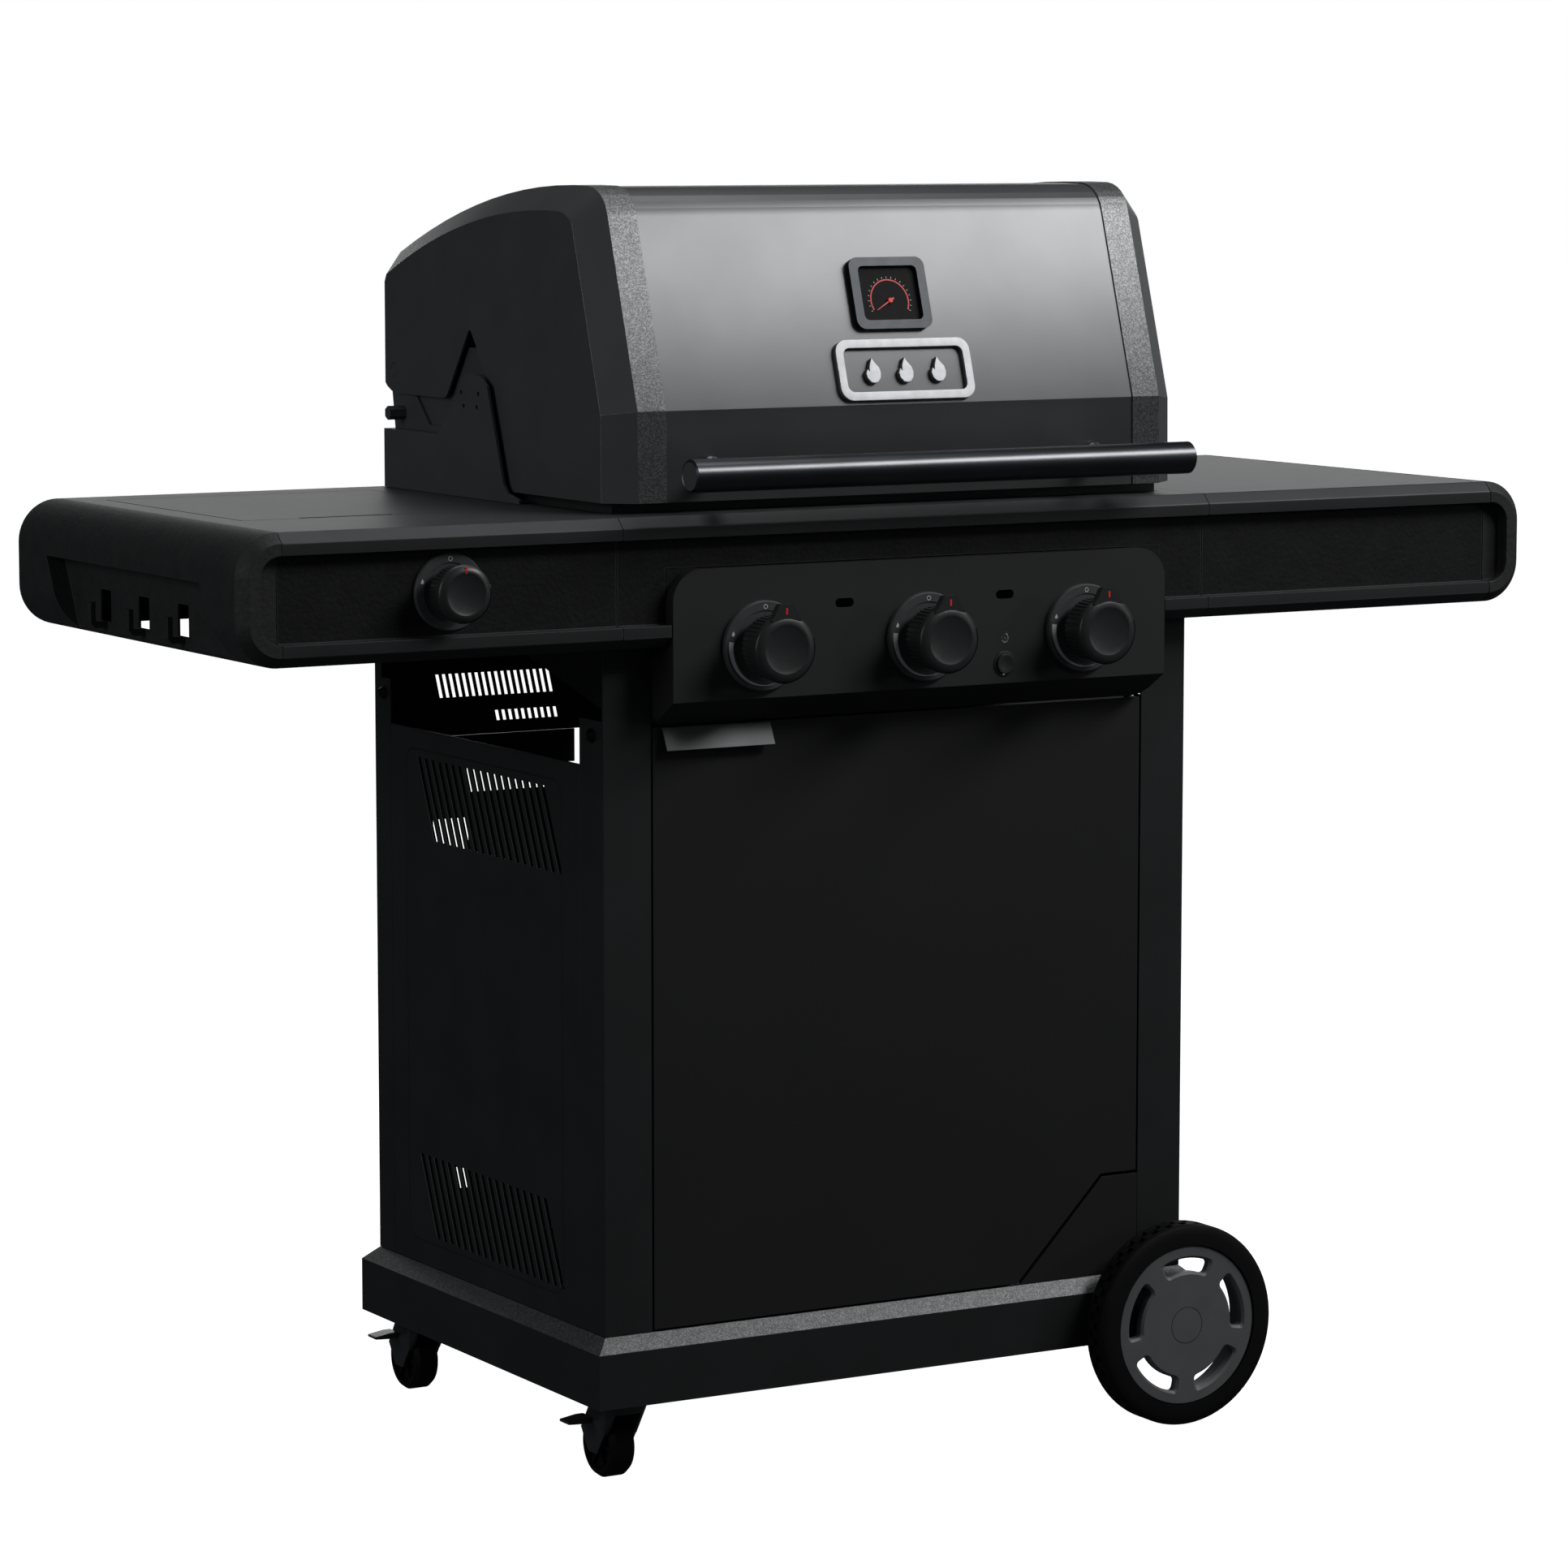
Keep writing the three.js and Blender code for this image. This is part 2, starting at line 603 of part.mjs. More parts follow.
function cookingGrate() {
  const low = firebox.ledge + gap;
  const high = low + 8;
  const bars = [];
  for (let i = -9; i <= 9; i += 1) {
    bars.push(box(i * 30 - 4, i * 30 + 4, firebox.front + 5, firebox.rear - 5, low, high));
  }
  const rails = [firebox.front + 5, 12, firebox.rear - 13].map((y) => box(-274, 274, y, y + 8, low, high));
  return join(...bars, ...rails);
}

// A wire shelf over the rear of the cooking grate, standing on the firebox rim.
function warmingRack() {
  const z = 1000;
  const front = -20;
  const rear = 118;
  const wires = [];
  for (let i = -8; i <= 8; i += 1) {
    wires.push(rod('y', 2.5, front, rear, [i * 30, z], 6));
  }
  const rails = [front, rear].map((y) => rod('x', 3, -272, 272, [y, z], 6));
  const legs = [];
  for (const x of [-270, 270]) {
    for (const y of [front, rear]) {
      legs.push(box(x - 3, x + 3, y - 3, y + 3, firebox.ledge + 9, z));
    }
  }
  return join(...wires, ...rails, ...legs);
}

function greaseTray() {
  const { halfWidth: w, front, rear, bottom, top } = tray;
  const body = cut(
    box(-w, w, front, rear, bottom, top),
    box(-w + 1.5, w - 1.5, front + 1.5, rear - 1.5, bottom + 1.5, top + 1),
  );
  return join(body, box(-30, 30, rear - 1, rear + 12, top - 6, top - 3));
}

// ---------------------------------------------------------------- side burner

// Where fingers reach under the front edge of the side burner's lid.
function fingerSlot(front, rear) {
  return box(-542, -453, front, rear, pan.rim - 4, deck.top + 1);
}

const pan = { left: -592, right: -341, front: -98, rear: 182, bottom: 786, rim: 862.5 };

function sideBurnerPan() {
  const { left, right, front, rear, bottom, rim } = pan;
  const tub = box(left, right, front, rear, bottom, rim);
  const flange = box(left - 17, right + 17, front - 17, rear + 17, rim - 2, rim);
  const hollow = box(left + 2, right - 2, front + 2, rear - 2, bottom + 2, rim + 1);
  const port = rod('y', 10, front - 3, front + 9, [sideKnob.x, sideKnob.z]);
  return cut(join(tub, flange), hollow, port, fingerSlot(front - 9, front));
}

const sideBurner = { y: 42, radius: 38 };

function sideBurnerHead() {
  const { y, radius } = sideBurner;
  const venturi = rod('y', 9, pipe.y + 18, y, [sideKnob.x, sideKnob.z]);
  const mouth = rod('y', 6, pipe.y + 17, pipe.y + 70, [sideKnob.x, sideKnob.z]);
  const head = rod('z', radius, sideKnob.z - 9, 832, [sideKnob.x, y], 24);
  return cut(join(venturi, head), mouth);
}

function sideBurnerGrate() {
  const { y } = sideBurner;
  const low = 846;
  const high = 856;
  const { left, right, front, rear } = pan;
  const frame = cut(
    box(left + 3, right - 3, front + 3, rear - 3, low, high),
    box(left + 11, right - 11, front + 11, rear - 11, low - 1, high + 1),
  );
  const bars = [
    box(left + 4, sideKnob.x - 20, y - 4, y + 4, low, high),
    box(sideKnob.x + 20, right - 4, y - 4, y + 4, low, high),
    box(sideKnob.x - 4, sideKnob.x + 4, front + 4, y - 20, low, high),
    box(sideKnob.x - 4, sideKnob.x + 4, y + 20, rear - 4, low, high),
  ];
  const feet = [left + 3, right - 11].map((x) => box(x, x + 8, y - 8, y + 8, pan.bottom + 2 + gap, low + 1));
  return join(frame, ...bars, ...feet);
}

function sideBurnerLid() {
  const top = deck.top;
  const plate = box(lid.left, lid.right, lid.front, lid.rear, top - 2.5, top);
  return cut(plate, fingerSlot(lid.front - 1, lid.front + 6));
}

// ---------------------------------------------------------------- hood

// The hood's outer section from the front bottom edge over the crown to the rear, as [y, z].
function hoodProfile(inset) {
  const face = [
    new THREE.Vector2(hood.front + inset, hood.bottom),
    new THREE.Vector2(hood.front + 1 + inset, 954 - inset * 0.15),
    new THREE.Vector2(-157.7 + inset * 0.9, 1121 - inset * 0.4),
  ];
  const shoulder = new THREE.QuadraticBezierCurve(
    face[2], new THREE.Vector2(-151 + inset * 0.8, 1144 - inset),
    new THREE.Vector2(-123.8 + inset * 0.5, 1146.5 - inset),
  );
  const crown = new THREE.QuadraticBezierCurve(
    shoulder.v2, new THREE.Vector2(60, 1152 - inset),
    new THREE.Vector2(hood.rear - 6 - inset * 0.9, 1081 - inset * 0.9),
  );
  const back = [
    new THREE.Vector2(hood.rear - inset, 1070 - inset * 0.7),
    new THREE.Vector2(hood.rear - inset, hood.rearBottom),
  ];
  return [...face, ...shoulder.getPoints(6).slice(1), ...crown.getPoints(12).slice(1), ...back];
}

function profileLoop(inset, x) {
  return hoodProfile(inset).map((point) => [x, point.x, point.y]);
}

function hoodSkin() {
  const x = hood.skinHalf - gap / 2;
  const run = hoodProfile(0).map((point) => [point.x, point.y]);
  const skin = prismX(folded(run.reverse(), hood.sheet), -x, x);
  const slope = new THREE.CylinderGeometry(6, 6, 60, 12);
  slope.rotateX(THREE.MathUtils.degToRad(-gauge.lean));
  slope.translate(0, gauge.y, gauge.z);
  return cut(skin, toSolid(slope));
}

// The notch in each side wall that clears the hinge bracket, and the rounded rear corner.
function sideNotch() {
  const shape = new THREE.Shape();
  shape.moveTo(-15, hood.bottom - 15);
  shape.lineTo(-12, hood.bottom - 0.5);
  shape.lineTo(-7.4, hood.bottom);
  shape.lineTo(-2.7, 877.7);
  shape.lineTo(9.4, 928);
  shape.quadraticCurveTo(18.5, 966, 43.7, 998);
  shape.lineTo(55, 1013);
  shape.quadraticCurveTo(60, 1020, 65, 1011);
  shape.lineTo(103, 959);
  shape.quadraticCurveTo(107, 952.5, 116, 952.5);
  shape.lineTo(211, 952.5);
  shape.quadraticCurveTo(243, 957, hood.rear - 7, hood.rearBottom);
  shape.lineTo(hood.rear + 9, hood.rearBottom);
  shape.lineTo(hood.rear + 9, hood.bottom - 15);
  return shape;
}

// An end of the hood: a flat band, a bevel and a side wall, open towards the middle and below.
function hoodEndLeft() {
  const inner = -hood.skinHalf - gap / 2;
  const t = hood.sheet;
  const floorPoints = (inset, x) => [
    [x, hood.front + inset, hood.bottom], [x, hood.rear - inset, hood.bottom],
  ];
  const capHull = (extra, open) => hull([
    ...profileLoop(extra, inner + open), ...profileLoop(extra, -hood.bandHalf + extra * 0.4),
    ...profileLoop(extra + hood.bevel, -hood.sideHalf + extra),
    ...floorPoints(extra, inner + open), ...floorPoints(extra, -hood.bandHalf + extra * 0.4),
    ...floorPoints(extra + hood.bevel, -hood.sideHalf + extra),
  ].map(([x, y, z]) => [x, y, z <= hood.bottom ? hood.bottom - open : z]));
  const cap = capHull(-1.2, 0);
  const cavity = capHull(t - 1.2, 1);
  const notch = prismX(sideNotch(), -hood.sideHalf - 9, inner + 9);
  const pinHole = rod('x', pivot.radius + 0.5, -hood.sideHalf - 9, inner + 9, [pivot.y, pivot.z]);
  const heel = box(
    -hood.sideHalf + t + 0.1, inner + 1, 222, hood.rear + 9, hood.bottom - 9, hood.rearBottom,
  );
  return cut(cap, cavity, notch, heel, pinHole);
}

function hoodHandle() {
  const { y, z, radius, halfLength, post: at } = handle;
  const tube = rod('x', radius, -halfLength, halfLength, [y, z], 24);
  const posts = [-at, at].map((x) => rod('y', 8, y, hood.front - gap, [x, z], 12));
  return join(tube, ...posts);
}

// The gauge stands on the sloping face; it is built flat and then leaned back with it.
function onSlope(geometry) {
  geometry.rotateX(THREE.MathUtils.degToRad(-gauge.lean));
  geometry.translate(0, gauge.y, gauge.z);
  return toSolid(geometry);
}

function uprightBlock(shape, front, back) {
  const geometry = extrude(shape, back - front);
  geometry.rotateX(Math.PI / 2);
  geometry.translate(0, back, 0);
  return onSlope(geometry);
}

function gaugeFace(width, height, radius) {
  const w = width / 2;
  return roundedRectangle(-w, w, -height / 2, height / 2, [radius, radius, radius, radius]);
}

function gaugeHousing() {
  const { width, height, proud } = gauge;
  const body = uprightBlock(gaugeFace(width, height, 9), -proud, -gap);
  const opening = gaugeFace(width - 2 * gauge.frameWide, height - 2 * gauge.frameTall, 5);
  const window = uprightBlock(opening, -proud - 1, -proud + 4);
  const probe = onSlope(new THREE.CylinderGeometry(4, 4, 62, 12).translate(0, 30, 0));
  return join(cut(body, window), probe);
}

function gaugeNeedle() {
  const rest = THREE.MathUtils.degToRad(210);
  const arm = new THREE.BoxGeometry(24, 1, 2.2).translate(8, 0, 0).rotateY(-rest);
  const hub = new THREE.CylinderGeometry(3, 3, 1.6, 12);
  const place = (geometry) => onSlope(geometry.translate(0, -gauge.proud + 2.4, -gauge.hubDrop));
  return join(place(arm), place(hub));
}

// ---------------------------------------------------------------- hinge brackets

// Each bracket stands on the console and carries the hood's pivot pin and its stop bolt.
function hingeBracketLeft() {
  const outer = -304;
  const ear = -289.7;
  const foot = deck.top + gap;
  const ledge = 920;
  const wall = outline([
    [221, foot], [221, ledge], [112, ledge], [107, 922], [67.5, 962], [63, 970], [57, 975.5], [47, 978],
    [35, 978], [22, 975], [11, 968], [2, 943], [-11, 907.5], [-20, 882], [-28, 874],
    [-51, 869.5], [-51, foot],
  ]);
  const earShape = new THREE.Shape();
  earShape.moveTo(96, ledge - sheet);
  earShape.lineTo(221, ledge - sheet);
  earShape.lineTo(230, pivot.z);
  earShape.absarc(pivot.y, pivot.z, 15, 0, Math.PI);
  earShape.lineTo(150, ledge + 6);
  earShape.lineTo(96, ledge + 6);
  const plate = prismX(wall, outer, outer + sheet);
  const shelf = box(outer + 1, ear - 1, 112, 221, ledge - sheet, ledge);
  const flange = box(outer + 1, outer + 10, -48, 219, foot, foot + sheet);
  const pin = rod('x', pivot.radius, -hood.sideHalf - 1, ear - 1, [pivot.y, pivot.z]);
  const stop = rod('x', 6.5, outer - 5, ear - 1, [203, 935], 6);
  const holes = [[62, 960], [28, 960], [57, 948], [31, 948]];
  const bores = holes.map((at) => rod('x', 2.2, outer - 1, outer + 9, at, 8));
  return cut(join(plate, flange, shelf, prismX(earShape, ear - sheet, ear), pin, stop), ...bores);
}

// ---------------------------------------------------------------- wheels and casters

function rimSlot(angle, y0, y1) {
  const half = THREE.MathUtils.degToRad(25);
  const shape = new THREE.Shape();
  shape.absarc(0, 0, 63, angle - half, angle + half);
  shape.absarc(0, 0, 50, angle + half, angle - half, true);
  const geometry = extrude(shape, y1 - y0);
  geometry.rotateX(Math.PI / 2);
  geometry.translate(wheel.x, y1, wheel.radius);
  return toSolid(geometry);
}

// A wheel spans y0 to y1; the axle enters from the base's side and stops behind the hub cap.
function wheelRim(face, out) {
  const back = face - out * wheel.width;
  const outerY = face - out * 1.5;
  const innerY = back + out * 1.5;
  const span = [outerY, innerY].sort((a, b) => a - b);
  const disc = rod('y', wheel.rim, ...span, [wheel.x, wheel.radius], 40);
  const slots = [];
  for (let i = 0; i < 5; i += 1) {
    slots.push(rimSlot(THREE.MathUtils.degToRad(-54 + i * 72), span[0] - 1, span[1] + 1));
  }
  const boreSpan = [face - out * 7, innerY - out].sort((a, b) => a - b);
  const bore = rod('y', wheel.axle + 0.4, ...boreSpan, [wheel.x, wheel.radius]);
  const behind = [outerY - out * wheel.web, innerY - out].sort((a, b) => a - b);
  const wide = rod('y', wheel.rim - 8, ...behind, [wheel.x, wheel.radius], 40);
  const hollow = cut(wide, rod('y', wheel.hub, ...behind, [wheel.x, wheel.radius], 24));
  return cut(disc, ...slots, hollow, bore);
}

function tyre(face, out) {
  const r = wheel.radius;
  const inner = wheel.rim + gap;
  const y = (depth) => face - out * depth;
  const w = wheel.width;
  const profile = [
    [inner, y(0)], [r - 7, y(0)], [r - 1.5, y(2.5)], [r, y(w / 2)],
    [r - 1.5, y(w - 2.5)], [r - 7, y(w)], [inner, y(w)],
  ];
  const closed = [...profile, profile[0]];
  return turnedY(out > 0 ? closed.reverse() : closed, wheel.x, wheel.radius, 48);
}

function wheelAxle() {
  const end = wheel.outerFace - 8;
  return rod('y', wheel.axle, -257 + 8, end, [wheel.x, wheel.radius]);
}

function casterYoke(y) {
  const wheelY = y + caster.trail;
  const { x, width } = caster;
  const cheek = width / 2 + 4.5;
  const topRing = [];
  for (let i = 0; i < 12; i += 1) {
    const angle = i * Math.PI / 6;
    topRing.push([x + 26 * Math.cos(angle), y + 26 * Math.sin(angle), base.bottom - gap]);
  }
  const body = hull([...topRing, ...ring(x - cheek, x + cheek, wheelY - 22, wheelY + 22, 42)]);
  const lower = hull([
    ...ring(x - cheek, x + cheek, wheelY - 22, wheelY + 22, 43),
    ...ring(x - cheek, x + cheek, wheelY - 8, wheelY + 8, 23),
  ]);
  const half = width / 2 + 1;
  const slot = box(x - half, x + half, wheelY - 50, wheelY + 50, 0, 63.5);
  const pin = rod('x', caster.pin, x - cheek + 1, x + cheek - 1, [wheelY, caster.radius], 12);
  return join(cut(join(body, lower), slot), pin);
}

function casterWheel(y) {
  const { x, width, radius, trail, pin } = caster;
  const tread = rod('x', radius, x - width / 2, x + width / 2, [y + trail, radius], 32);
  return cut(tread, rod('x', pin + 0.3, x - width, x + width, [y + trail, radius], 12));
}

function brakeLever(y) {
  const root = caster.x - caster.width / 2 - 9;
  const side = outline([
    [root, 52], [root, 58], [root - 8, 58], [root - 24, 55.5], [root - 24, 53], [root - 8, 52],
  ]);
  return prismY(side, y + caster.trail - 9, y + caster.trail + 9);
}

// ---------------------------------------------------------------- assembly

addPart('base_plinth', basePlinth(), blackSteel);
addPart('post_front_left', cornerPost(-1, 'front'), blackSteel);
addPart('post_front_right', join(cornerPost(1, 'front'), hingeEar(681, cabinet.halfWidth - 40)), blackSteel);
addPart('post_rear_left', cornerPost(-1, 'rear'), blackSteel);
addPart('post_rear_right', cornerPost(1, 'rear'), blackSteel);
addPart('side_panel_left', sidePanel(), blackSteel);
addPart('side_panel_right', mirrored(sidePanel()), blackSteel);
addPart('rear_panel_lower', rearPanelLower(), blackSteel);
addPart('rear_panel_upper', rearPanelUpper(), blackSteel);
addPart('corner_panel', cornerPanel(), doorSteel);
addPart('door', door(), doorSteel);
addPart('door_handle', doorHandle(), blackSteel);

addPart('console_centre', consoleCentre(), deckSteel);
addPart('shelf_left', shelfLeft(), deckSteel);
addPart('shelf_right', shelfRight(), deckSteel);
addPart('end_cap_left', endCapLeft(), mouldedPlastic);
addPart('end_cap_right', endCapRight(), mouldedPlastic);
addPart('control_panel', controlPanel(), blackSteel);

addPart('firebox', fireboxTub(), blackSteel);
addPart('flame_tamer', flameTamer(), stainless);
addPart('cooking_grate', cookingGrate(), castIron);
addPart('warming_rack', warmingRack(), stainless);
addPart('grease_tray', greaseTray(), stainless);
addPart('gas_manifold', gasManifold(), stainless);
addPart('side_supply_tube', sideSupplyTube(), stainless);

const stations = ['left', 'centre', 'right'];
stations.forEach((station, i) => {
  const x = burnerX[i];
  addPart(`burner_${station}`, burner(x), stainless);
  addPart(`valve_stem_${station}`, valveStem(x, knobs.z, knobs.back - 13), brass);
  addPart(`knob_${station}`, knob(x, knobs.z, knobs, true), knobPlastic);
});
addPart('valve_stem_side', valveStem(sideKnob.x, sideKnob.z, sideKnob.back - 13), brass);
addPart('knob_side', knob(sideKnob.x, sideKnob.z, sideKnob, false), knobPlastic);
addPart('igniter_button', igniterButton(), knobPlastic);

addPart('side_burner_pan', sideBurnerPan(), blackSteel);
addPart('side_burner_head', sideBurnerHead(), stainless);
addPart('side_burner_grate', sideBurnerGrate(), castIron);
addPart('side_burner_lid', sideBurnerLid(), deckSteel);

addPart('hood_skin', hoodSkin(), graphite);
addPart('hood_end_left', hoodEndLeft(), hammered);
addPart('hood_end_right', mirrored(hoodEndLeft()), hammered);
addPart('hood_handle', hoodHandle(), tubeChrome);
addPart('gauge_housing', gaugeHousing(), graphite);
addPart('gauge_needle', gaugeNeedle(), red);
addPart('hinge_bracket_left', hingeBracketLeft(), blackSteel);
addPart('hinge_bracket_right', mirrored(hingeBracketLeft()), blackSteel);

addPart('axle', wheelAxle(), stainless);
const wheels = [['front', -258, -1], ['rear', wheel.outerFace, 1]];
for (const [end, face, out] of wheels) {
  addPart(`wheel_rim_${end}`, wheelRim(face, out), rimPlastic);
  addPart(`tyre_${end}`, tyre(face, out), tyrePlastic);
}
const swivels = [['front', caster.frontY], ['rear', caster.rearY]];
for (const [end, y] of swivels) {
  addPart(`caster_yoke_${end}`, casterYoke(y), knobPlastic);
  addPart(`caster_wheel_${end}`, casterWheel(y), tyrePlastic);
  addPart(`brake_lever_${end}`, brakeLever(y), knobPlastic);
}

export default grill;
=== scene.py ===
import json
import math

import bmesh
import bpy
from mathutils import Matrix, Vector


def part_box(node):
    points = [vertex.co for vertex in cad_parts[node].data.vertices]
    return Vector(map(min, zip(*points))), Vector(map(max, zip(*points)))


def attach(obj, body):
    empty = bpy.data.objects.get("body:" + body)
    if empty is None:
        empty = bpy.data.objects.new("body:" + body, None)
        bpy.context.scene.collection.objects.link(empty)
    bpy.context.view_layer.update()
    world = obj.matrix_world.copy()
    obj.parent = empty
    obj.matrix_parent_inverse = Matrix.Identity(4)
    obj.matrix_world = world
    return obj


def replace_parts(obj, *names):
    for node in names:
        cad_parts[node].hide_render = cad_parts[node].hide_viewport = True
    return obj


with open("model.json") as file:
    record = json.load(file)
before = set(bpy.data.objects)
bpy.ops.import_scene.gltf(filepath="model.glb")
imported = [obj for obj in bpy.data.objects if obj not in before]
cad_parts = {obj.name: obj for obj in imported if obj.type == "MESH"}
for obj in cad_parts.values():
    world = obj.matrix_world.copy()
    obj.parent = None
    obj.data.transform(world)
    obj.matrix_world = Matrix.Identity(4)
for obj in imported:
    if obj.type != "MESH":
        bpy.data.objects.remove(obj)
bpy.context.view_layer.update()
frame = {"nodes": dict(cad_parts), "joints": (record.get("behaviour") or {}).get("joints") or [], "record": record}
mm = 0.001
print("frame loaded")


def linearColour(hexCode):
    parts = [int(hexCode[i:i + 2], 16) / 255 for i in (1, 3, 5)]
    return [*(c / 12.92 if c <= 0.04045 else ((c + 0.055) / 1.055) ** 2.4 for c in parts), 1]


# adds one node to a material's or a modifier's tree
def addNode(tree, kind, values=None, links=None, **settings):
    node = tree.nodes.new(kind)
    for name, value in settings.items():
        setattr(node, name, value)
    for socket, value in (values or {}).items():
        node.inputs[socket].default_value = value
    for socket, source in (links or {}).items():
        tree.links.new(source, node.inputs[socket])
    return node


# Every finish has a body colour that drifts over mottle mm, and a surface grain of grain mm
# whose height is depth mm. Flakes are bright specks in the coat, flake mm across.
def makeFinish(name, look):
    material = bpy.data.materials.new(name)
    material.use_nodes = True
    tree = material.node_tree
    shader = tree.nodes["Principled BSDF"]
    place = addNode(tree, "ShaderNodeTexCoord").outputs["Object"]
    drift = addNode(tree, "ShaderNodeTexNoise", {"Scale": 1 / (look["mottle"] * mm), "Detail": 4},
                    {"Vector": place})
    spread = addNode(tree, "ShaderNodeMapRange", {"From Min": 0.3, "From Max": 0.7},
                     {"Value": drift.outputs["Fac"]})
    tone = addNode(tree, "ShaderNodeMix", data_type="RGBA")
    tone.inputs[6].default_value = linearColour(look["colour"])
    tone.inputs[7].default_value = linearColour(look["drift"])
    tree.links.new(spread.outputs["Result"], tone.inputs[0])
    colour = tone.outputs[2]
    grain = addNode(tree, "ShaderNodeTexNoise", {"Scale": 1 / (look["grain"] * mm), "Detail": 3},
                    {"Vector": place})
    if "flake" in look:
        cells = addNode(tree, "ShaderNodeTexVoronoi", {"Scale": 1 / (look["flake"] * mm)},
                        {"Vector": place})
        speck = addNode(tree, "ShaderNodeSeparateColor", None, {"Color": cells.outputs["Color"]})
        bright = addNode(tree, "ShaderNodeMapRange", {"From Min": 0.35, "From Max": 1},
                         {"Value": speck.outputs["Red"]})
        lit = addNode(tree, "ShaderNodeMix", data_type="RGBA")
        lit.inputs[7].default_value = linearColour(look["flakeColour"])
        tree.links.new(bright.outputs["Result"], lit.inputs[0])
        tree.links.new(colour, lit.inputs[6])
        colour = lit.outputs[2]
    tree.links.new(colour, shader.inputs["Base Color"])
    low, high = look["roughness"]
    rough = addNode(tree, "ShaderNodeMapRange", {"To Min": low, "To Max": high},
                    {"Value": grain.outputs["Fac"]})
    tree.links.new(rough.outputs["Result"], shader.inputs["Roughness"])
    height = grain.outputs["Fac"]
    if "brushed" in look:      # brush lines run along one axis, so the grain is stretched along it
        stretch = addNode(tree, "ShaderNodeMapping", {"Scale": look["brushed"]}, {"Vector": place})
        lines = addNode(tree, "ShaderNodeTexNoise", {"Scale": 1 / (look["grain"] * mm), "Detail": 2},
                        {"Vector": stretch.outputs["Vector"]})
        height = lines.outputs["Fac"]
    bump = addNode(tree, "ShaderNodeBump", {"Strength": look.get("strength", 0.5),
                                            "Distance": look["depth"] * mm}, {"Height": height})
    tree.links.new(bump.outputs["Normal"], shader.inputs["Normal"])
    shader.inputs["Metallic"].default_value = look.get("metallic", 0)
    if "ior" in look:
        shader.inputs["IOR"].default_value = look["ior"]
    return material


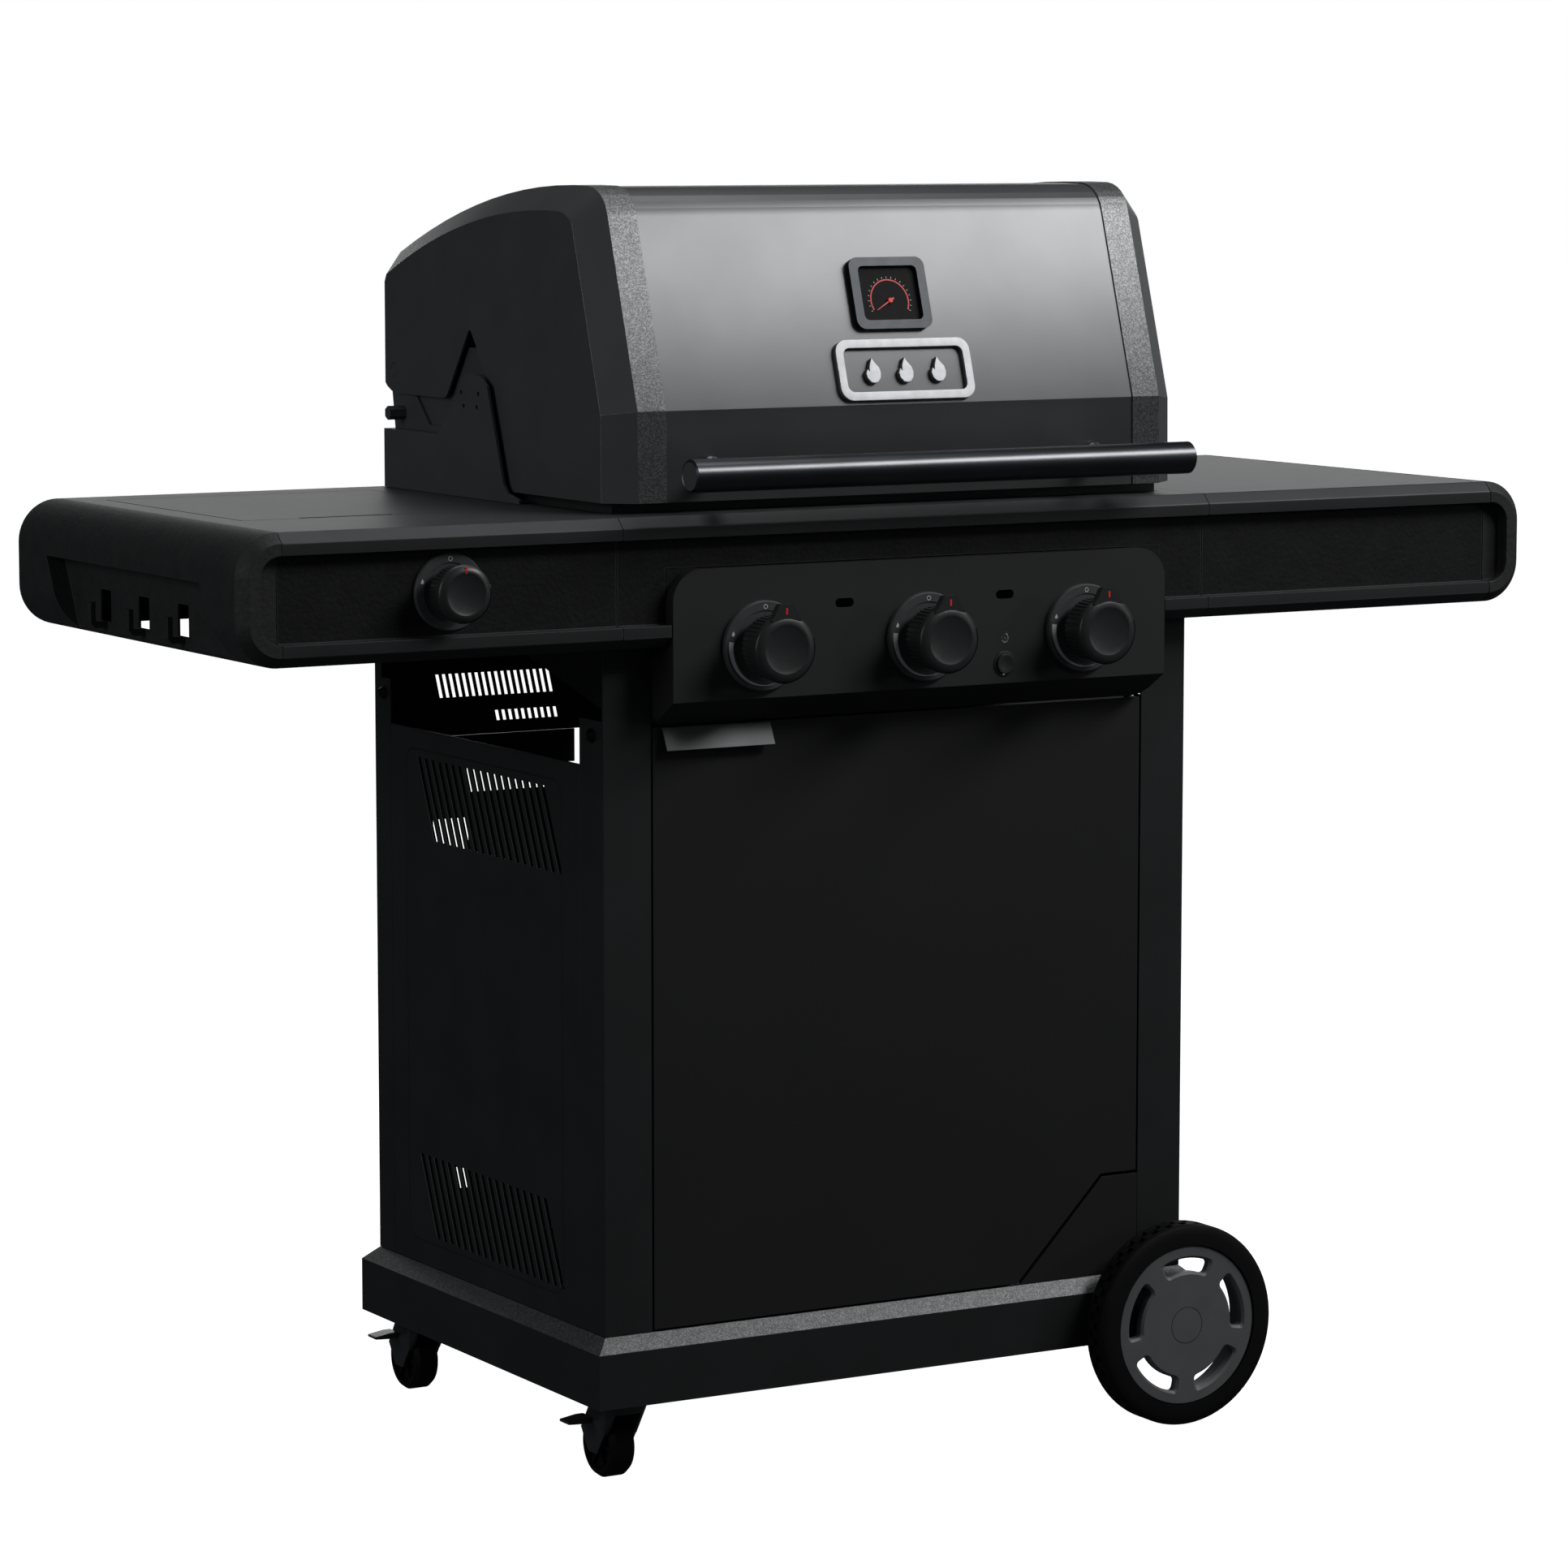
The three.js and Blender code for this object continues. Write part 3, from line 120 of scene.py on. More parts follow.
finishes = {
    # mild steel with polyester powder coat: satin black, with a very fine orange peel
    "powderCoat": {"colour": "#1d1e1f", "drift": "#232526", "mottle": 60, "grain": 1.2, "depth": 0.05,
                   "roughness": (0.42, 0.58), "ior": 1.5},
    # the slate grey coat of the hood's sides and hinge brackets
    "slateCoat": {"colour": "#434647", "drift": "#494c4d", "mottle": 50, "grain": 1.1, "depth": 0.05,
                  "roughness": (0.42, 0.55)},
    # the console's front plate: a shade lighter than the door below it
    "panelCoat": {"colour": "#1e1f1f", "drift": "#222323", "mottle": 90, "grain": 1.4, "depth": 0.03,
                  "roughness": (0.55, 0.65)},
    # the same coat in a matt powder, which stays even and dark over a wide panel
    "mattCoat": {"colour": "#151515", "drift": "#181818", "mottle": 120, "grain": 1.5, "depth": 0.03,
                 "roughness": (0.6, 0.7), "ior": 1.45},
    # textured powder coat on the shelf tops: a fine sand that greys at a low angle
    "sandCoat": {"colour": "#2a2c2e", "drift": "#303336", "mottle": 40, "grain": 1.4, "depth": 0.12,
                 "roughness": (0.42, 0.6), "ior": 1.5},
    # moulded ABS with a leather grain: dull, mottled, with soft lumps a few mm across
    "grainedPlastic": {"colour": "#1b1c1d", "drift": "#242526", "mottle": 18, "grain": 4.5,
                       "depth": 0.5, "roughness": (0.45, 0.75), "strength": 0.7},
    # the same plastic in the recess of the fascia, glossier, and darker as painted shade of the recess
    "fasciaGrain": {"colour": "#0b0c0c", "drift": "#151616", "mottle": 16, "grain": 4.2,
                    "depth": 0.5, "roughness": (0.5, 0.7), "strength": 0.8, "ior": 1.35},
    # metallic graphite enamel: a smooth, even sheen that runs into bright highlights
    "graphiteEnamel": {"colour": "#6a6b6c", "drift": "#707172", "mottle": 80, "grain": 0.9,
                       "depth": 0.02, "roughness": (0.36, 0.42), "metallic": 0.75},
    # hammered metallic enamel: pale flakes in a dark coat, so it sparkles where it is lit; on the plinth's
    # shoulders it is a painted highlight
    "flakeEnamel": {"colour": "#58595a", "drift": "#606162", "mottle": 12, "grain": 0.9, "depth": 0.12,
                    "roughness": (0.34, 0.5), "metallic": 0.6, "flake": 0.85, "flakeColour": "#8f9091"},
    # the same enamel on the small pull, ground finer
    "pullCoat": {"colour": "#5c5d5e", "drift": "#626364", "mottle": 14, "grain": 0.7, "depth": 0.06,
                 "roughness": (0.45, 0.55), "metallic": 0.5},
    # polished black-nickel tube: dark and mirror-like with soft drawing lines
    "blackNickel": {"colour": "#5c5e61", "drift": "#555759", "mottle": 50, "grain": 0.8, "depth": 0.01,
                    "roughness": (0.26, 0.34), "metallic": 1, "brushed": (0.03, 1, 1)},
    # sand-cast iron with matt enamel: coarse and nearly black
    "castIron": {"colour": "#161616", "drift": "#1f1d1c", "mottle": 15, "grain": 1.8, "depth": 0.35,
                 "roughness": (0.55, 0.8)},
    # brushed stainless steel sheet: bright, with long fine lines
    "brushedSteel": {"colour": "#a6a7a8", "drift": "#97989a", "mottle": 30, "grain": 0.7, "depth": 0.03,
                     "roughness": (0.28, 0.4), "metallic": 1, "brushed": (0.02, 1, 1)},
    # machined brass stems, dulled by handling
    "machinedBrass": {"colour": "#b08d57", "drift": "#9c7b49", "mottle": 6, "grain": 0.5, "depth": 0.02,
                      "roughness": (0.25, 0.4), "metallic": 1},
    # moulded glass-filled nylon for knobs and casters: satin, slightly grey
    "knobNylon": {"colour": "#2b2c2d", "drift": "#303132", "mottle": 10, "grain": 0.8, "depth": 0.03,
                  "roughness": (0.32, 0.42)},
    # the same nylon in the rings behind the knobs, a lighter grey that is partly the rings' own tone and partly
    # painted light on their lit faces
    "bezelNylon": {"colour": "#484a4b", "drift": "#4e5051", "mottle": 10, "grain": 0.8, "depth": 0.03,
                   "roughness": (0.34, 0.44)},
    # gloss ABS insert, black as piano lacquer; the screws' cross recesses wear it too, as painted shade
    "glossInsert": {"colour": "#0b0b0c", "drift": "#0d0d0e", "mottle": 10, "grain": 0.6, "depth": 0.01,
                    "roughness": (0.16, 0.22)},
    # moulded polypropylene wheel: mid grey, a little waxy
    "wheelPlastic": {"colour": "#626465", "drift": "#686a6b", "mottle": 25, "grain": 1, "depth": 0.03,
                     "roughness": (0.42, 0.55)},
    # hard polyethylene tread: black and dull with faint scuffs
    "treadPlastic": {"colour": "#050505", "drift": "#080808", "mottle": 20, "grain": 1.4, "depth": 0.08,
                     "roughness": (0.6, 0.8), "ior": 1.3},
    # pad-printed enamel marks
    "redPrint": {"colour": "#ff3d2e", "drift": "#f53828", "mottle": 4, "grain": 0.5, "depth": 0.01,
                 "roughness": (0.4, 0.5)},
    "greyPrint": {"colour": "#dfe1e2", "drift": "#d3d5d6", "mottle": 4, "grain": 0.5, "depth": 0.01,
                  "roughness": (0.4, 0.5)},
    # matt black rubber in the seals, and near-black painted shade in the pressed lines, where no light comes back
    "groovePaint": {"colour": "#0b0b0b", "drift": "#0e0e0e", "mottle": 20, "grain": 1, "depth": 0.02,
                    "roughness": (0.6, 0.7)},
    # dial card behind the gauge's window: smooth printed card, nearly black
    "dialCard": {"colour": "#161516", "drift": "#1b1a1b", "mottle": 8, "grain": 0.6, "depth": 0.01,
                 "roughness": (0.7, 0.8), "ior": 1.35},
    # dark satin zinc casting round the gauge
    "frameZinc": {"colour": "#36383a", "drift": "#3c3e40", "mottle": 12, "grain": 0.6, "depth": 0.02,
                  "roughness": (0.3, 0.4), "metallic": 0.9},
    # black-oxide screw heads
    "blackOxide": {"colour": "#18191a", "drift": "#202122", "mottle": 3, "grain": 0.5, "depth": 0.03,
                   "roughness": (0.3, 0.42), "metallic": 0.8},
    # satin nickel-plated zinc casting for the badge
    "satinNickel": {"colour": "#a4a6a8", "drift": "#989a9c", "mottle": 9, "grain": 0.6, "depth": 0.02,
                    "roughness": (0.4, 0.5), "metallic": 0.9},
}
material = {name: makeFinish(name, look) for name, look in finishes.items()}
print("finishes made")


def jointPlace(name):
    joint = next(j for j in frame["joints"] if j["name"] == name)
    return Vector(joint["pos_m"]), Vector(joint["axis"]).normalized()


# each corner takes the mean normal of the faces that meet it softly, the widest counting most,
# so flat faces stay flat right up to their eased edges
def evenNormals(mesh, angle, bow=None):
    around = [[] for _ in mesh.vertices]
    for face in mesh.polygons:
        for vertex in face.vertices:
            around[vertex].append((face.normal.copy(), face.area))
    limit = math.cos(math.radians(angle))
    normals = []
    for face in mesh.polygons:
        for vertex in face.vertices:
            total = Vector((0, 0, 0))
            for normal, area in around[vertex]:
                if normal.dot(face.normal) > limit:
                    total += normal * area
            normal = total.normalized() if total.length > 0 else face.normal.copy()
            if bow and face.normal.y < -0.8:      # only the faces that look forwards
                if bow["steep"] > face.normal.z > bow["flat"]:
                    height = mesh.vertices[vertex].co.z - bow["middle"]
                    normal = Matrix.Rotation(math.radians(-bow["perMetre"] * height), 3, "X") @ normal
                elif abs(face.normal.z) <= bow["flat"]:
                    normal = Matrix.Rotation(math.radians(bow["tuck"]), 3, "X") @ normal
            normals.append(normal)
    mesh.normals_split_custom_set(normals)


# the pressed face of the hood bows out a little and the band below it tucks in, which shows only in
# how they shade
hoodBow = {"flat": 0.2, "steep": 0.42, "middle": 1.045, "perMetre": 52, "tuck": 9}


# a mesh becomes a piece that moves with a body
def fixPiece(name, mesh, body):
    piece = bpy.data.objects.new(name, mesh)
    bpy.context.scene.collection.objects.link(piece)
    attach(piece, body)
    return piece


# cleans a bmesh, shades it and gives it its finish or finishes
def finishPiece(name, bm, body, finish, smooth=35, outward=True, bow=None):
    bmesh.ops.remove_doubles(bm, verts=bm.verts, dist=0.000005)
    if outward:
        bmesh.ops.recalc_face_normals(bm, faces=bm.faces)
    mesh = bpy.data.meshes.new(name)
    bm.to_mesh(mesh)
    bm.free()
    if "custom_normal" in mesh.attributes:
        mesh.attributes.remove(mesh.attributes["custom_normal"])
    mesh.polygons.foreach_set("use_smooth", [True] * len(mesh.polygons))
    evenNormals(mesh, smooth, bow)
    for oneFinish in finish if isinstance(finish, (list, tuple)) else [finish]:
        mesh.materials.append(material[oneFinish])
    return fixPiece(name, mesh, body)


def bodyOf(node):
    return next(b for b, nodes in frame["record"]["behaviour"]["bodies"].items() if node in nodes)


def roundEdges(bm, width, segments=2, above=25):
    limit = math.radians(above)
    sharp = [e for e in bm.edges if e.is_manifold and e.calc_face_angle(0) > limit]
    bmesh.ops.bevel(bm, geom=sharp, offset=width, offset_type="OFFSET", segments=segments,
                    profile=0.6, affect="EDGES", clamp_overlap=True)


# a copy of a frame part with its corners eased, which stands for that part
def easedCopy(node, width, finish, segments=2, smooth=35, above=25, choose=None, bow=None, name=None):
    first, *others = node.split("_")
    name = name or first + "".join(word.title() for word in others)
    bm = bmesh.new()
    bm.from_mesh(frame["nodes"][node].data)
    bmesh.ops.remove_doubles(bm, verts=bm.verts, dist=0.00002)
    bmesh.ops.dissolve_limit(bm, angle_limit=math.radians(0.6), verts=bm.verts, edges=bm.edges)
    if choose:
        for face in bm.faces:
            face.normal_update()
            face.material_index = choose(face)
    roundEdges(bm, width * mm, segments, above)
    piece = finishPiece(name, bm, bodyOf(node), finish, smooth, outward=False, bow=bow)
    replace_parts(piece, node)
    return piece


def paintNode(node, finish):
    mesh = frame["nodes"][node].data
    mesh.materials.clear()
    mesh.materials.append(material[finish])


# sweeps (radius, along) pairs round an axis through centre; the run starts and ends on the axis
# or comes back to its first pair
def turn(bm, profile, centre, axis="Y", sides=64, start=0, sweep=360):
    whole = sweep == 360
    count = sides if whole else sides + 1
    rings = []
    for radius, reach in profile:
        ring = []
        for i in range(count if radius > 1e-7 else 1):
            angle = math.radians(start + sweep * i / sides)
            u, v = radius * math.cos(angle), radius * math.sin(angle)
            offset = {"X": (reach, u, v), "Y": (u, reach, v), "Z": (u, v, reach)}[axis]
            ring.append(bm.verts.new(Vector(centre) + Vector(offset)))
        rings.append(ring)
    for first, second in zip(rings, rings[1:]):
        for i in range(sides):
            j = (i + 1) % count
            corners = [first[i % len(first)], first[j % len(first)],
                       second[j % len(second)], second[i % len(second)]]
            corners = list(dict.fromkeys(corners))
            if len(corners) > 2:
                bm.faces.new(corners)
    if not whole:
        closed = [r for r in rings if len(r) > 1]
        for index in (0, -1):
            loop = [r[index] for r in closed]
            if (loop[0].co - loop[-1].co).length < 1e-7:
                loop = loop[:-1]
            bm.faces.new(loop)


def arcPoints(centre, radius, start, end, count):
    return [(centre[0] + radius * math.cos(math.radians(start + (end - start) * i / count)),
             centre[1] + radius * math.sin(math.radians(start + (end - start) * i / count)))
            for i in range(count + 1)]


# quads between two loops of as many points
def bridge(bm, first, second):
    for i in range(len(first)):
        j = (i + 1) % len(first)
        bm.faces.new([first[i], first[j], second[j], second[i]])


# a plate with an (across, up) outline whose front is at depth 0 and back at thickness, then placed
def plate(bm, points, thickness, place):
    front = [bm.verts.new(place @ Vector((u, 0, v))) for u, v in points]
    back = [bm.verts.new(place @ Vector((u, thickness, v))) for u, v in points]
    bm.faces.new(front)
    bm.faces.new(back[::-1])
    bridge(bm, back, front)


def roundedOutline(width, height, radius, steps=6):
    points = []
    for sx, sz, start in ((1, 1, 0), (-1, 1, 90), (-1, -1, 180), (1, -1, 270)):
        centre = (sx * (width / 2 - radius), sz * (height / 2 - radius))
        points += arcPoints(centre, radius, start, start + 90, steps)
    return points


def brick(bm, low, high):
    for vert in bmesh.ops.create_cube(bm, size=1)["verts"]:
        vert.co = Vector([low[k] + (vert.co[k] + 0.5) * (high[k] - low[k]) for k in range(3)])


# Geometry Nodes: blocks set round an arc about the Y axis
def makeRingTree():
    tree = bpy.data.node_groups.new("blocksRoundAnArc", "GeometryNodeTree")
    tree.is_modifier = True
    face = tree.interface
    face.new_socket("Count", in_out="INPUT", socket_type="NodeSocketInt")
    for name in ("Radius", "Start", "Step", "Radial", "Along", "Tangent"):
        face.new_socket(name, in_out="INPUT", socket_type="NodeSocketFloat")
    face.new_socket("Finish", in_out="INPUT", socket_type="NodeSocketMaterial")
    face.new_socket("Geometry", in_out="OUTPUT", socket_type="NodeSocketGeometry")
    given = addNode(tree, "NodeGroupInput").outputs
    line = addNode(tree, "GeometryNodeMeshLine", None, {"Count": given["Count"]})
    index = addNode(tree, "GeometryNodeInputIndex").outputs["Index"]
    degrees = addNode(tree, "ShaderNodeMath", None, {0: index, 1: given["Step"], 2: given["Start"]},
                      operation="MULTIPLY_ADD")
    angle = addNode(tree, "ShaderNodeMath", None, {0: degrees.outputs[0]}, operation="RADIANS").outputs[0]
    reach = {}
    for side, operation in (("X", "COSINE"), ("Z", "SINE")):
        share = addNode(tree, "ShaderNodeMath", None, {0: angle}, operation=operation)
        reach[side] = addNode(tree, "ShaderNodeMath", None, {0: share.outputs[0], 1: given["Radius"]},
                              operation="MULTIPLY").outputs[0]
    spot = addNode(tree, "ShaderNodeCombineXYZ", None, reach)
    points = addNode(tree, "GeometryNodeSetPosition", None,
                     {"Geometry": line.outputs["Mesh"], "Position": spot.outputs[0]})
    size = addNode(tree, "ShaderNodeCombineXYZ", None,
                   {"X": given["Radial"], "Y": given["Along"], "Z": given["Tangent"]})
    block = addNode(tree, "GeometryNodeMeshCube", None, {"Size": size.outputs[0]})
    turned = addNode(tree, "ShaderNodeMath", {1: -1.0}, {0: angle}, operation="MULTIPLY")
    facing = addNode(tree, "ShaderNodeCombineXYZ", None, {"Y": turned.outputs[0]})
    copies = addNode(tree, "GeometryNodeInstanceOnPoints", None,
                     {"Points": points.outputs["Geometry"], "Instance": block.outputs["Mesh"],
                      "Rotation": facing.outputs[0]})
    real = addNode(tree, "GeometryNodeRealizeInstances", None, {"Geometry": copies.outputs["Instances"]})
    painted = addNode(tree, "GeometryNodeSetMaterial", None,
                      {"Geometry": real.outputs["Geometry"], "Material": given["Finish"]})
    addNode(tree, "NodeGroupOutput", None, {"Geometry": painted.outputs["Geometry"]})
    return tree


# Geometry Nodes: a cross-head screw on each point of a mesh, its axis along the given Axis
def makeScrewTree():
    tree = bpy.data.node_groups.new("crossHeadScrews", "GeometryNodeTree")
    tree.is_modifier = True
    face = tree.interface
    face.new_socket("Geometry", in_out="INPUT", socket_type="NodeSocketGeometry")
    for name in ("Radius", "Height"):
        face.new_socket(name, in_out="INPUT", socket_type="NodeSocketFloat")
    face.new_socket("Axis", in_out="INPUT", socket_type="NodeSocketVector")
    face.new_socket("Finish", in_out="INPUT", socket_type="NodeSocketMaterial")
    face.new_socket("RecessShade", in_out="INPUT", socket_type="NodeSocketMaterial")
    face.new_socket("Geometry", in_out="OUTPUT", socket_type="NodeSocketGeometry")
    given = addNode(tree, "NodeGroupInput").outputs
    top = addNode(tree, "ShaderNodeMath", {1: 0.62}, {0: given["Radius"]}, operation="MULTIPLY")
    head = addNode(tree, "GeometryNodeMeshCone", {"Vertices": 20},
                   {"Radius Top": top.outputs[0], "Radius Bottom": given["Radius"],
                    "Depth": given["Height"]})
    headPaint = addNode(tree, "GeometryNodeSetMaterial", None,
                        {"Geometry": head.outputs["Mesh"], "Material": given["Finish"]})
    long = addNode(tree, "ShaderNodeMath", {1: 0.8}, {0: given["Radius"]}, operation="MULTIPLY")
    short = addNode(tree, "ShaderNodeMath", {1: 0.2}, {0: given["Radius"]}, operation="MULTIPLY")
    lift = addNode(tree, "ShaderNodeCombineXYZ", None, {"Z": given["Height"]})
    parts = [headPaint.outputs["Geometry"]]
    for first, second in ((long, short), (short, long)):
        size = addNode(tree, "ShaderNodeCombineXYZ", None,
                       {"X": first.outputs[0], "Y": second.outputs[0], "Z": short.outputs[0]})
        bar = addNode(tree, "GeometryNodeMeshCube", None, {"Size": size.outputs[0]})
        raised = addNode(tree, "GeometryNodeTransform", None,
                         {"Geometry": bar.outputs["Mesh"], "Translation": lift.outputs[0]})
        # the cross is drawn as dark bars on the head, painted shade standing for the recess
        recessShadeBar = addNode(tree, "GeometryNodeSetMaterial", None,
                       {"Geometry": raised.outputs["Geometry"], "Material": given["RecessShade"]})
        parts.append(recessShadeBar.outputs["Geometry"])
    whole = addNode(tree, "GeometryNodeJoinGeometry")
    for part in parts:
        tree.links.new(part, whole.inputs[0])
    facing = addNode(tree, "FunctionNodeAlignRotationToVector", None, {"Vector": given["Axis"]}, axis="Z")
    copies = addNode(tree, "GeometryNodeInstanceOnPoints", None,
                     {"Points": given["Geometry"], "Instance": whole.outputs[0],
                      "Rotation": facing.outputs[0]})
    real = addNode(tree, "GeometryNodeRealizeInstances", None, {"Geometry": copies.outputs["Instances"]})
    addNode(tree, "NodeGroupOutput", None, {"Geometry": real.outputs["Geometry"]})
    return tree


ringTree, screwTree = makeRingTree(), makeScrewTree()


# runs a node tree on a mesh and keeps the result as a plain mesh, moved into place
def grownPiece(name, tree, inputs, place, body, points=()):
    seed = bpy.data.meshes.new(name + "Seed")
    seed.from_pydata([tuple(p) for p in points], [], [])
    grower = bpy.data.objects.new(name + "Grower", seed)
    bpy.context.scene.collection.objects.link(grower)
    modifier = grower.modifiers.new("grow", "NODES")
    modifier.node_group = tree
    sockets = {s.name: s.identifier for s in tree.interface.items_tree if s.in_out == "INPUT"}
    for key, value in inputs.items():
        modifier[sockets[key]] = value
    result = grower.evaluated_get(bpy.context.evaluated_depsgraph_get())
    mesh = bpy.data.meshes.new_from_object(result)
    mesh.name = name
    grower.modifiers.remove(modifier)
    bpy.data.objects.remove(grower)
    mesh.transform(place)
    return fixPiece(name, mesh, body)


# the camera stands at the left front, a little above the hood
view = {"place": (-2.5186, -4.3228, 1.2083), "pitch": -7.038, "yaw": -30.208, "lens": 124.24}
camera = bpy.data.objects.new("camera", bpy.data.cameras.new("camera"))
camera.data.lens = view["lens"]
camera.data.sensor_width = 36
camera.data.clip_end = 100
camera.location = view["place"]
camera.rotation_euler = (math.radians(90 + view["pitch"]), 0, math.radians(view["yaw"]))
bpy.context.scene.collection.objects.link(camera)
bpy.context.scene.camera = camera
bpy.context.scene.view_settings.view_transform = "Standard"

softboxes = {
    "overheadFront": {"place": (2.3, -2.2, 3.15), "aim": (0.1, -0.1, 1.0), "size": (2.6, 0.9),
                      "power": 80},
    "overhead": {"place": (0.2, 0.2, 3.2), "aim": (0, 0.1, 0.9), "size": (2.4, 1.0), "power": 18},
    "behind": {"place": (2.3, 4.2, 1.55), "aim": (0.2, 0, 0.9), "size": (5.6, 1.0), "power": 46},
    "leftFill": {"place": (-4.4, -0.6, 2.0), "aim": (0, 0, 0.7), "size": (2.0, 2.0), "power": 33},
    "rightEdge": {"place": (4.2, -3.0, 1.5), "aim": (0, -0.25, 0.75), "size": (0.5, 0.7), "power": 7},
}
for name, box in softboxes.items():
    light = bpy.data.lights.new(name, "AREA")
    light.shape = "RECTANGLE"
    light.size, light.size_y = box["size"]
    light.energy = box["power"]
    lamp = bpy.data.objects.new(name, light)
    lamp.location = box["place"]
    aim = Vector(box["aim"]) - Vector(box["place"])
    lamp.rotation_euler = aim.to_track_quat("-Z", "Y").to_euler()
    lamp.visible_camera = False
    bpy.context.scene.collection.objects.link(lamp)

# the room is white to look at and dim to be lit by
world = bpy.data.worlds.new("studio")
world.use_nodes = True
bpy.context.scene.world = world
sky = world.node_tree
sky.nodes.clear()
seen = addNode(sky, "ShaderNodeBackground", {"Color": (1, 1, 1, 1), "Strength": 1.0})
felt = addNode(sky, "ShaderNodeBackground", {"Color": (0.86, 0.93, 1, 1), "Strength": 0.035})
ray = addNode(sky, "ShaderNodeLightPath")
both = addNode(sky, "ShaderNodeMixShader", None, {0: ray.outputs["Is Camera Ray"],
                                                  1: felt.outputs[0], 2: seen.outputs[0]})
addNode(sky, "ShaderNodeOutputWorld", None, {"Surface": both.outputs[0]})

# the floor is white and seamless, and the grill neither reflects it nor is lit by it
floorSize = 30
bm = bmesh.new()
bmesh.ops.create_grid(bm, x_segments=1, y_segments=1, size=floorSize)
floorMesh = bpy.data.meshes.new("studioFloor")
bm.to_mesh(floorMesh)
bm.free()
floorPaint = bpy.data.materials.new("paleFloor")
floorPaint.use_nodes = True
paper = floorPaint.node_tree
paper.nodes.clear()
paperLit = addNode(paper, "ShaderNodeBsdfDiffuse", {"Color": (0.5, 0.5, 0.5, 1)})
paperGlow = addNode(paper, "ShaderNodeEmission", {"Color": (1, 1, 1, 1), "Strength": 1.0})
paperSum = addNode(paper, "ShaderNodeAddShader", None, {0: paperLit.outputs[0], 1: paperGlow.outputs[0]})
addNode(paper, "ShaderNodeOutputMaterial", None, {"Surface": paperSum.outputs[0]})
floorMesh.materials.append(floorPaint)
studioFloor = bpy.data.objects.new("studioFloor", floorMesh)
bpy.context.scene.collection.objects.link(studioFloor)
studioFloor.visible_diffuse = False
studioFloor.visible_glossy = False
print("studio set")

# what is seen only through slots or with the hood open keeps its shape and gets its finish
for node in ("axle", "flame_tamer", "grease_tray", "gas_manifold", "side_supply_tube", "burner_left",
             "burner_centre", "burner_right", "side_burner_head", "warming_rack"):
    paintNode(node, "brushedSteel")
for node in ("valve_stem_left", "valve_stem_centre", "valve_stem_right", "valve_stem_side"):
    paintNode(node, "machinedBrass")
for node in ("firebox", "side_burner_pan"):
    paintNode(node, "powderCoat")

for corner in ("front_left", "front_right", "rear_left", "rear_right"):
    easedCopy("post_" + corner, 0.7, "powderCoat")
easedCopy("rear_panel_lower", 0.5, "powderCoat")
easedCopy("rear_panel_upper", 0.3, "powderCoat", segments=1)
easedCopy("door", 0.9, "mattCoat", name="doorPanel")
easedCopy("corner_panel", 0.7, "mattCoat")
easedCopy("door_handle", 0.4, "pullCoat", name="doorPull")


# the plinth's bevelled shoulders wear the lighter flake coat as a painted highlight where they catch the light
def shoulderHighlight(face):
    return 1 if 0.3 < face.normal.z < 0.9 else 0


easedCopy("base_plinth", 1.0, ("powderCoat", "flakeEnamel"), choose=shoulderHighlight)

# a pressed line runs round each side panel's vents: a shallow groove painted near-black, as painted shade
pressing = {"proud": 0.05, "inset": 0.4, "width": 1.6, "radius": 16, "behind": 0.5,
            "top": 626, "bottom": 163, "rear": 179, "front": -130}


def pressedLine(side, end):
    p = pressing
    low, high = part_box("side_panel_" + end)
    wide, tall = (p["rear"] - p["front"]) * mm, (p["top"] - p["bottom"]) * mm
    middle = Vector((0, (p["rear"] + p["front"]) * mm / 2, (p["top"] + p["bottom"]) * mm / 2))
    face = low.x if side < 0 else high.x
    bm = bmesh.new()
    rings = []
    for grow, out in ((p["width"] / 2, p["proud"]), (0, p["inset"]), (-p["width"] / 2, p["proud"])):
        outline = roundedOutline(wide + 2 * grow * mm, tall + 2 * grow * mm, (p["radius"] + grow) * mm)
        rings.append([bm.verts.new((face + side * out * mm, middle.y + u, middle.z + v))
                      for u, v in outline])
    rings.append([bm.verts.new((face - side * p["behind"] * mm, v.co.y, v.co.z)) for v in rings[1]])
    for first, second in zip(rings, rings[1:] + rings[:1]):
        bridge(bm, first, second)
    finishPiece("pressedLine" + end.title(), bm, "frame", "groovePaint", smooth=60)


for side, end in ((-1, "left"), (1, "right")):
    easedCopy("side_panel_" + end, 0.35, "powderCoat", segments=1)
    pressedLine(side, end)

# black rubber seals close the gaps beside the door and along the corner panel's sloping top
seal = {"from": 2.6, "deep": 14, "wide": 2.4, "side": 2.6, "top": 679.5,
        "slope": [(130.2, 141.5), (132.6, 141.5), (220.5, 230.2), (256.4, 230.2), (256.4, 232.4),
                  (219.4, 232.4)]}
doorLow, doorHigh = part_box("door")
cornerLow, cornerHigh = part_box("corner_panel")
bm = bmesh.new()
brick(bm, (doorHigh.x + seal["side"] * mm, doorLow.y + seal["from"] * mm, cornerHigh.z),
      (doorHigh.x + (seal["side"] + seal["wide"]) * mm, doorLow.y + seal["deep"] * mm, seal["top"] * mm))
plate(bm, [(u * mm, v * mm) for u, v in seal["slope"]], (seal["deep"] - seal["from"]) * mm,
      Matrix.Translation((0, cornerLow.y + seal["from"] * mm, 0)))
finishPiece("doorSeals", bm, "frame", "groovePaint")
print("cart made")


consoleLow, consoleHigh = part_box("console_centre")
fasciaDepth = 12      # the fascia lies this far behind the console's front edge
fasciaFace = consoleLow.y + fasciaDepth * mm


